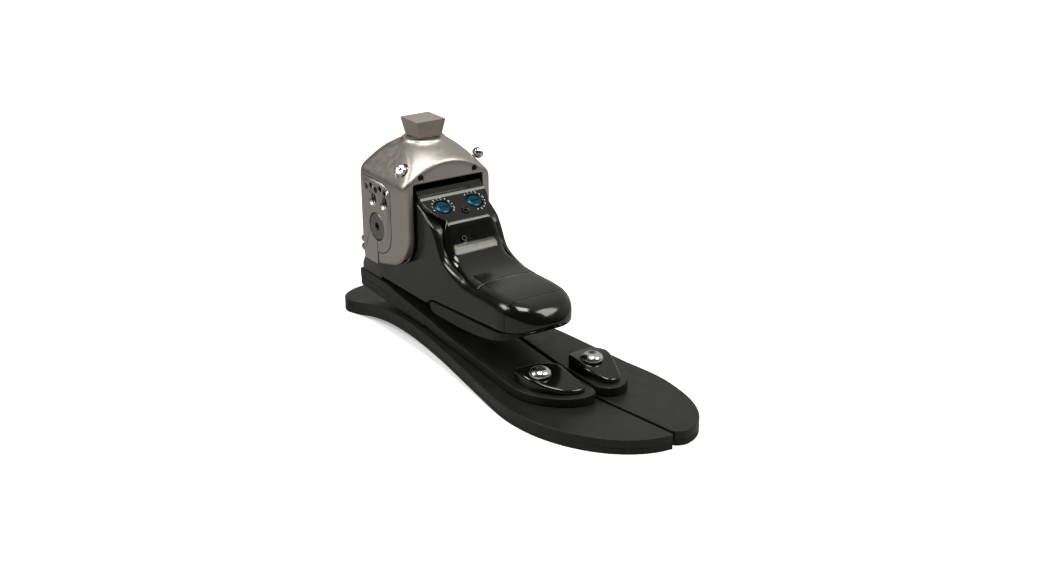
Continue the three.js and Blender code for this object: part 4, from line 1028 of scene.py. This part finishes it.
def make_dial_marks():
    """Dots and plain figures in turn round each knob."""
    for side, sign in SIDES.items():
        bm = bmesh.new()
        for k in range(DIAL_MARKS):
            a = radians(DIAL_START[side] + DIAL_STEP * k)
            x = sign * KNOB_X + DIAL_RADIUS * cos(a)
            centre = Vector((x, -KNOB_DOWN + DIAL_RADIUS * sin(a), 0))
            mark = dot_mesh(centre) if k % 2 == 0 else digit_mesh(str((k + 1) // 2), centre)
            bm.from_mesh(mark.data)
            bpy.data.objects.remove(mark)
        bmesh.ops.transform(bm, matrix=CONSOLE_PLANE, verts=bm.verts)
        place(new_object("marks", bm), f"dial_marks_{side}", "gloss_black", look="marks")


def knob_profile():
    """A short cylinder with a chamfered foot and an elliptical dome."""
    base = GAP - KNOB_WELL
    edge = KNOB_TOP - 1.1
    profile = [(0, base), (KNOB_RADIUS - 0.3, base), (KNOB_RADIUS, base + 0.3), (KNOB_RADIUS, edge)]
    dome_steps = 8
    for k in range(1, dome_steps + 1):
        a = pi / 2 * k / dome_steps
        profile.append((KNOB_RADIUS * (0.5 + 0.5 * cos(a)), edge + (KNOB_TOP - edge) * sin(a)))
    return profile + [(0, KNOB_TOP)]


def make_valves():
    notches = 24
    notch_reach = 1.02 * KNOB_RADIUS
    for side, sign in SIDES.items():
        at = on_console(sign * KNOB_X, KNOB_DOWN)
        knob = turned("knob", knob_profile(), at, OUT, 72)
        slot_turn = Matrix.Translation(at - Vector((0, *CONSOLE_TOP))) @ CONSOLE_PLANE
        slot = [(-2.7, -0.4), (2.7, -0.4), (2.7, 0.4), (-2.7, 0.4)]
        cut(knob, rod(1.8, -3, KNOB_TOP - 0.9, at, OUT))
        cut(knob, prism("slot", slot, KNOB_TOP - 0.5, 5, turn=slot_turn))
        for k in range(notches):
            a = 2 * pi * k / notches
            rim = slot_turn @ Vector((notch_reach * cos(a), notch_reach * sin(a), 0))
            cut(knob, rod(0.22, -3, 0.2, rim, OUT, 8))
        place(crisp(knob, 35, 0.05), f"blue_knob_{side}", "blue_anodised", f"valve_knob_{side}",
              body=f"knob_{side}")


# ---- yoke and pyramid
SMALL_HOLES = [(15.6, 84.9), (10.5, 86.7), (5.4, 85.2), (0.5, 86.8), (-4.3, 85.6)]
LARGE_HOLES = [(9.2, 79.2), (-2.8, 79.7)]
SMALL_HOLE_RADIUS = 1.8
LARGE_HOLE_RADIUS = 3.1
COUNTERSINK = 1.1
# room for the pyramid's collar, its screw and the screw's head: radius, lowest and highest z
PYRAMID_BORES = [(7.3, 105, 130), (4.3, 90, 130), (7.2, 90, 102)]
CLAMP_X = 24.3
CLAMP_Z = {"upper": 50.5, "lower": 45.6}
SHOULDER = Vector((21.4, -14, 99))
SHOULDER_AXIS = Vector((0.72, -0.28, 0.64)).normalized()
SHOULDER_PROUD = {"lateral": -0.9, "medial": 3.2}
LINTEL_SCREW = (17, 97.6)


def plate_outline(grow):
    """The inlaid plate on a cheek in side view, grown by the given width."""
    front = -10.1 - grow
    bottom = YOKE_BOTTOM - 0.05 - 5 * grow
    return [
        (21, 90.7 + grow), (-2.7, 90.7 + grow), (-9.2 - grow, 88.6 + grow), (front, 84), (front, 62),
        (-8.6 - grow, 56.6 - grow), (-5, 52.6 - grow), (0.4, 50 - grow), (5.4 - grow, 49.4 - grow),
        (5.4 - grow, bottom), (20, bottom), (21 + grow, 45), (21 + grow, 90),
    ]


def cheek_holes(sign):
    low, high = across(sign, 21, 30)
    small = [rod(SMALL_HOLE_RADIUS, low, high, Vector((0, *at)), "x", 24) for at in SMALL_HOLES]
    return small + [rod(LARGE_HOLE_RADIUS, low, high, Vector((0, *at)), "x", 32) for at in LARGE_HOLES]


def yoke_blank():
    """The arch before anything is cut from it: side view, front view, plan and roof together."""
    corner = arc((-6, 64), 19, 180, 258, 16)
    side = [(YOKE_HALF_DEPTH, RIM_TOP), (-YOKE_HALF_DEPTH, RIM_TOP)] + corner
    side += [(4, YOKE_BOTTOM), (20.5, YOKE_BOTTOM), (22.6, 44), (24.4, 54), (YOKE_HALF_DEPTH, 66)]
    blank = prism("yoke", side, -CHEEK_OUTER, CHEEK_OUTER, "x")
    right = [(CHEEK_OUTER, 20)] + arc((CHEEK_OUTER - 4, 91.5), 4, 0, 40, 8) + [(16, 108.6), (12.4, ROOF_TOP)]
    right.append((12.4, RIM_TOP))
    front = right + [(-x, z) for x, z in reversed(right)]
    combine(blank, prism("front", front, -60, 60, "y"), "INTERSECT")
    dome = [(0, 30), (44, 30), (44, 88)]
    dome += spline([(37, 94.3), (32, 98.4), (28, 102), (24, 105.2), (18, 108.8), (13, 111)], 24)
    dome += [(12.2, ROOF_TOP), (11.9, 112.5), (11.2, RIM_TOP), (0, RIM_TOP)]
    combine(blank, turned("dome", dome, ORIGIN, "z", 96), "INTERSECT")
    turn = 3.6
    wide, deep = CHEEK_OUTER, YOKE_HALF_DEPTH
    plan = []
    for quarter, (right, rear) in enumerate(((1, 1), (-1, 1), (-1, -1), (1, -1))):
        centre = (right * (wide - turn), rear * (deep - turn))
        plan += arc(centre, turn, 90 * quarter, 90 * (quarter + 1), 10)
    combine(blank, prism("plan", plan, 20, 130), "INTERSECT")
    soften(blank, 0.8, 40)
    rim = [(0, 108), (13.2, 108), (12.9, 110.6), (12.3, ROOF_TOP), (11.9, 112.5), (11.2, RIM_TOP)]
    return join(blank, turned("rim", rim + [(0, RIM_TOP)], ORIGIN, "z", 96))


def make_yoke():
    yoke = yoke_blank()
    inner = CHEEK_INNER
    cut(yoke, block(-inner, inner, -22, 22, 20, CEILING_Z), block(-inner, inner, -60, 60, 20, LINTEL_Z))
    cut(yoke, rod(PIN_RADIUS + GAP, -40, 40, PIN, "x", 64))
    for radius, low, high in PYRAMID_BORES:
        cut(yoke, upright(radius, low, high))
    for sign in SIDES.values():
        low, high = across(sign, CHEEK_OUTER - PLATE_THICKNESS - GAP, CHEEK_OUTER + 4)
        cut(yoke, prism("pocket", plate_outline(GAP), low, high, "x"), *cheek_holes(sign))
        cut(yoke, block(sign * 25 - 5, sign * 25 + 5, PIN.y - 0.5, PIN.y + 0.5, 30, PIN.z))
        for z in CLAMP_Z.values():
            cut(yoke, rod(1.5, -30, 40, Vector((sign * CLAMP_X, 0, z)), "y"))
        at, axis = mirrored(SHOULDER, sign), mirrored(SHOULDER_AXIS, sign)
        cut(yoke, rod(1.7, -5, 10, at, axis), rod(4, -1.2, 12, at, axis, 64))
        cut(yoke, rod(1.5, -30, -21, Vector((sign * LINTEL_SCREW[0], 0, LINTEL_SCREW[1])), "y"))
    soften(yoke, 0.42, 5)
    place(yoke, "aluminium_yoke", "satin_aluminium", "yoke", body="ankle_yoke")


def make_side_plate(side, sign):
    low, high = across(sign, CHEEK_OUTER - PLATE_THICKNESS, CHEEK_OUTER)
    plate = prism("plate", plate_outline(0), low, high, "x")
    cut(plate, rod(PIN_RADIUS + GAP, -40, 40, PIN, "x", 64), *cheek_holes(sign))
    cut(plate, block(sign * 27 - 4, sign * 27 + 4, PIN.y - 0.25, PIN.y + 0.25, 30, PIN.z))
    wide = LARGE_HOLE_RADIUS + COUNTERSINK
    cone = [(0, -0.5), (LARGE_HOLE_RADIUS, 0), (wide, COUNTERSINK), (wide, 2), (0, 2)]
    for y, z in LARGE_HOLES:
        bottom = Vector((sign * (CHEEK_OUTER - COUNTERSINK), y, z))
        cut(plate, turned("cone", cone, bottom, Vector((sign, 0, 0))))
    crisp(plate, 35, 0.22)
    place(plate, f"inlaid_plate_{side}", "satin_aluminium", f"side_plate_{side}", body="ankle_yoke")


def make_yoke_screws(side, sign):
    toward_rear = Vector((0, 1, 0))
    for level, z in CLAMP_Z.items():
        base = Vector((sign * CLAMP_X, 24.8, z))
        screw = cap_screw(base, toward_rear, radius=2.3, height=2.8, shank=1.2, length=32.8, socket=1.2)
        place(screw, f"clamp_cap_screw_{side}_{level}", "bright_steel", f"clamp_screw_{side}_{level}",
              body="ankle_yoke")
    proud = SHOULDER_PROUD[side]
    axis = mirrored(SHOULDER_AXIS, sign)
    base = mirrored(SHOULDER, sign) + axis * proud
    profile = [(0, 0), (1.9, 0)] + arc((0, 2.4), 3.2, -50, 44, 12) + [(0, 4.62)]
    screw = turned("screw", profile, base, axis, 48)
    join(screw, rod(1.3, -4 - proud, 0.1, base, axis))
    cut(screw, rod(1.4, 2.6, 6, base, axis, 6))
    place(crisp(screw, 35, 0.12), f"shoulder_cap_screw_{side}", "bright_steel", f"shoulder_screw_{side}",
          body="ankle_yoke")


def make_pyramid():
    """The four-sided adapter, wider at its top, on its collar and with a square foot."""
    pyramid = upright(7, 105.3, PYRAMID_BASE + 0.2, steps=64)
    join(pyramid, block(-6.9, 6.9, -6.9, 6.9, RIM_TOP + GAP, PYRAMID_BASE + 0.2))
    bm = bmesh.new()
    rings = []
    for half, z in ((7.3, PYRAMID_BASE), (9, PYRAMID_TOP)):
        square = [(half, half), (-half, half), (-half, -half), (half, -half)]
        rings.append([bm.verts.new((x, y, z)) for x, y in square])
    bm.faces.new(rings[0])
    bm.faces.new(rings[-1])
    add_walls(bm, *rings)
    join(pyramid, new_object("block", bm))
    cut(pyramid, upright(4.1, 100, 117))
    crisp(pyramid, 40, 0.35, 3)
    place(pyramid, "pyramid_adapter", "pyramid_metal", "pyramid", body="ankle_yoke")


# ---- stage
# three soft boxes: name, direction from the foot, width in metres, watts
LIGHTS = [
    ("overhead", (-0.1, -0.14, 0.97), 0.5, 11),
    ("right_front", (0.46, -0.48, 0.745), 0.48, 5.6),
    ("left_rear", (-0.67, 0.33, 0.65), 0.42, 9),
]
LIGHT_DISTANCE = 1.25
# what the parts see of the world: brighter toward one side, between two limits
WORLD_BRIGHT_SIDE = (0.7, 0.3, 0.65)
WORLD_FADE = (0.35, 0.85)
WORLD_LOW, WORLD_HIGH = 0.05, 0.55
# the floor: what it throws back in front of and behind the foot, and its glow near and far, in metres
FLOOR_SIZE = 6.0
BOUNCE_FRONT, BOUNCE_BEHIND = 0.36, 0.3
BOUNCE_CHANGE_Y = (-0.06, 0.06)
GLOW_NEAR, GLOW_FAR = 0.4, 1
GLOW_DISTANCES = (0.3, 1.2)


def floor_material():
    """A white sweep to the camera that throws little light back up, and glows more far away."""
    paint = Paint("pale_floor", (0.9, 0.9, 0.9), 0.6)
    seen = paint.node("LightPath").outputs["Is Camera Ray"]
    clouds = paint.between(paint.noise(60, 3), 0, 1, 0.98, 1)
    bounce = paint.between(paint.axis("Y"), *BOUNCE_CHANGE_Y, BOUNCE_FRONT, BOUNCE_BEHIND)
    unseen = paint.math("MULTIPLY", paint.math("SUBTRACT", 1, seen), bounce)
    shade = paint.math("ADD", paint.math("MULTIPLY", seen, 0.92), unseen)
    paint.color_between(paint.math("MULTIPLY", shade, clouds), (0, 0, 0), (1, 1, 1))
    paint.set("Specular IOR Level", 0).set("Emission Color", (1, 1, 1, 1))
    away = paint.node("VectorMath")
    away.operation = "LENGTH"
    paint.link(paint.coords, away.inputs[0])
    glow = paint.between(away.outputs["Value"], *GLOW_DISTANCES, GLOW_NEAR, GLOW_FAR)
    paint.link(paint.math("MULTIPLY", seen, glow), paint.shader.inputs["Emission Strength"])
    return paint.material


def make_floor():
    bm = bmesh.new()
    steps = 12
    bmesh.ops.create_grid(bm, x_segments=steps, y_segments=steps, size=FLOOR_SIZE)
    floor = new_object("floor", bm)
    floor.data.materials.append(floor_material())
    floor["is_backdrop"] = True


def make_lights():
    for name, direction, width, watts in LIGHTS:
        lamp = bpy.data.lights.new(name, "AREA")
        lamp.shape = "SQUARE"
        lamp.size = width
        lamp.energy = watts
        holder = add_object(name, lamp)
        toward = Vector(direction).normalized()
        holder.location = AXIS + CAMERA_TARGET * MM + toward * LIGHT_DISTANCE
        holder.rotation_mode = "QUATERNION"
        holder.rotation_quaternion = (-toward).to_track_quat("-Z", "Y")


def make_world():
    """White to the camera, and to the parts a dim room that is brighter on one side."""
    world = bpy.data.worlds.new("studio")
    world.use_nodes = True
    nodes = world.node_tree.nodes
    link = world.node_tree.links.new
    shade = nodes["Background"]
    shade.inputs["Color"].default_value = (1, 1, 1, 1)
    toward = nodes.new("ShaderNodeVectorMath")
    toward.operation = "DOT_PRODUCT"
    toward.inputs[1].default_value = WORLD_BRIGHT_SIDE
    link(nodes.new("ShaderNodeTexCoord").outputs["Generated"], toward.inputs[0])
    ramp = nodes.new("ShaderNodeMapRange")
    ramp.interpolation_type = "SMOOTHSTEP"
    for socket, value in zip(ramp.inputs[1:5], (*WORLD_FADE, WORLD_LOW, WORLD_HIGH)):
        socket.default_value = value
    link(toward.outputs["Value"], ramp.inputs["Value"])
    seen = nodes.new("ShaderNodeLightPath").outputs["Is Camera Ray"]
    choose = nodes.new("ShaderNodeMix")
    link(seen, choose.inputs["Factor"])
    link(ramp.outputs["Result"], choose.inputs["A"])
    choose.inputs["B"].default_value = 1
    link(choose.outputs["Result"], shade.inputs["Strength"])
    bpy.context.scene.world = world
    bpy.context.scene.view_settings.view_transform = "Standard"


def make_camera():
    lens = bpy.data.cameras.new("camera")
    lens.sensor_width = SENSOR_WIDTH
    lens.lens = CAMERA_LENS
    lens.clip_start = 0.01
    camera = add_object("camera", lens)
    a, e = radians(CAMERA_AZIMUTH), radians(CAMERA_ELEVATION)
    back = Vector((sin(a) * cos(e), -cos(a) * cos(e), sin(e)))
    camera.location = AXIS + (CAMERA_TARGET + back * CAMERA_DISTANCE) * MM
    camera.rotation_mode = "QUATERNION"
    camera.rotation_quaternion = (-back).to_track_quat("-Z", "Y")
    bpy.context.scene.camera = camera


def finish_cad_nodes():
    """Gives every CAD node that still shows its own detailed material."""
    slots = {row["node"]: row["material_slot"] for row in frame["record"]["subparts"]}
    for name, obj in frame["nodes"].items():
        wear(obj, "pin" if name == "pivot_pin" else slots[name])


def save_size():
    boxes = {"cad": CAD_BOX, "visual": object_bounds()}
    plain = {key: [list(low), list(high)] for key, (low, high) in boxes.items()}


finish_cad_nodes()
make_camera()
make_floor()
make_lights()
make_world()
make_sole()
make_springs()
make_toe_parts()
make_body()
make_console()
make_valves()
make_yoke()
for side, sign in SIDES.items():
    make_side_plate(side, sign)
    make_yoke_screws(side, sign)
make_pyramid()
save_size()
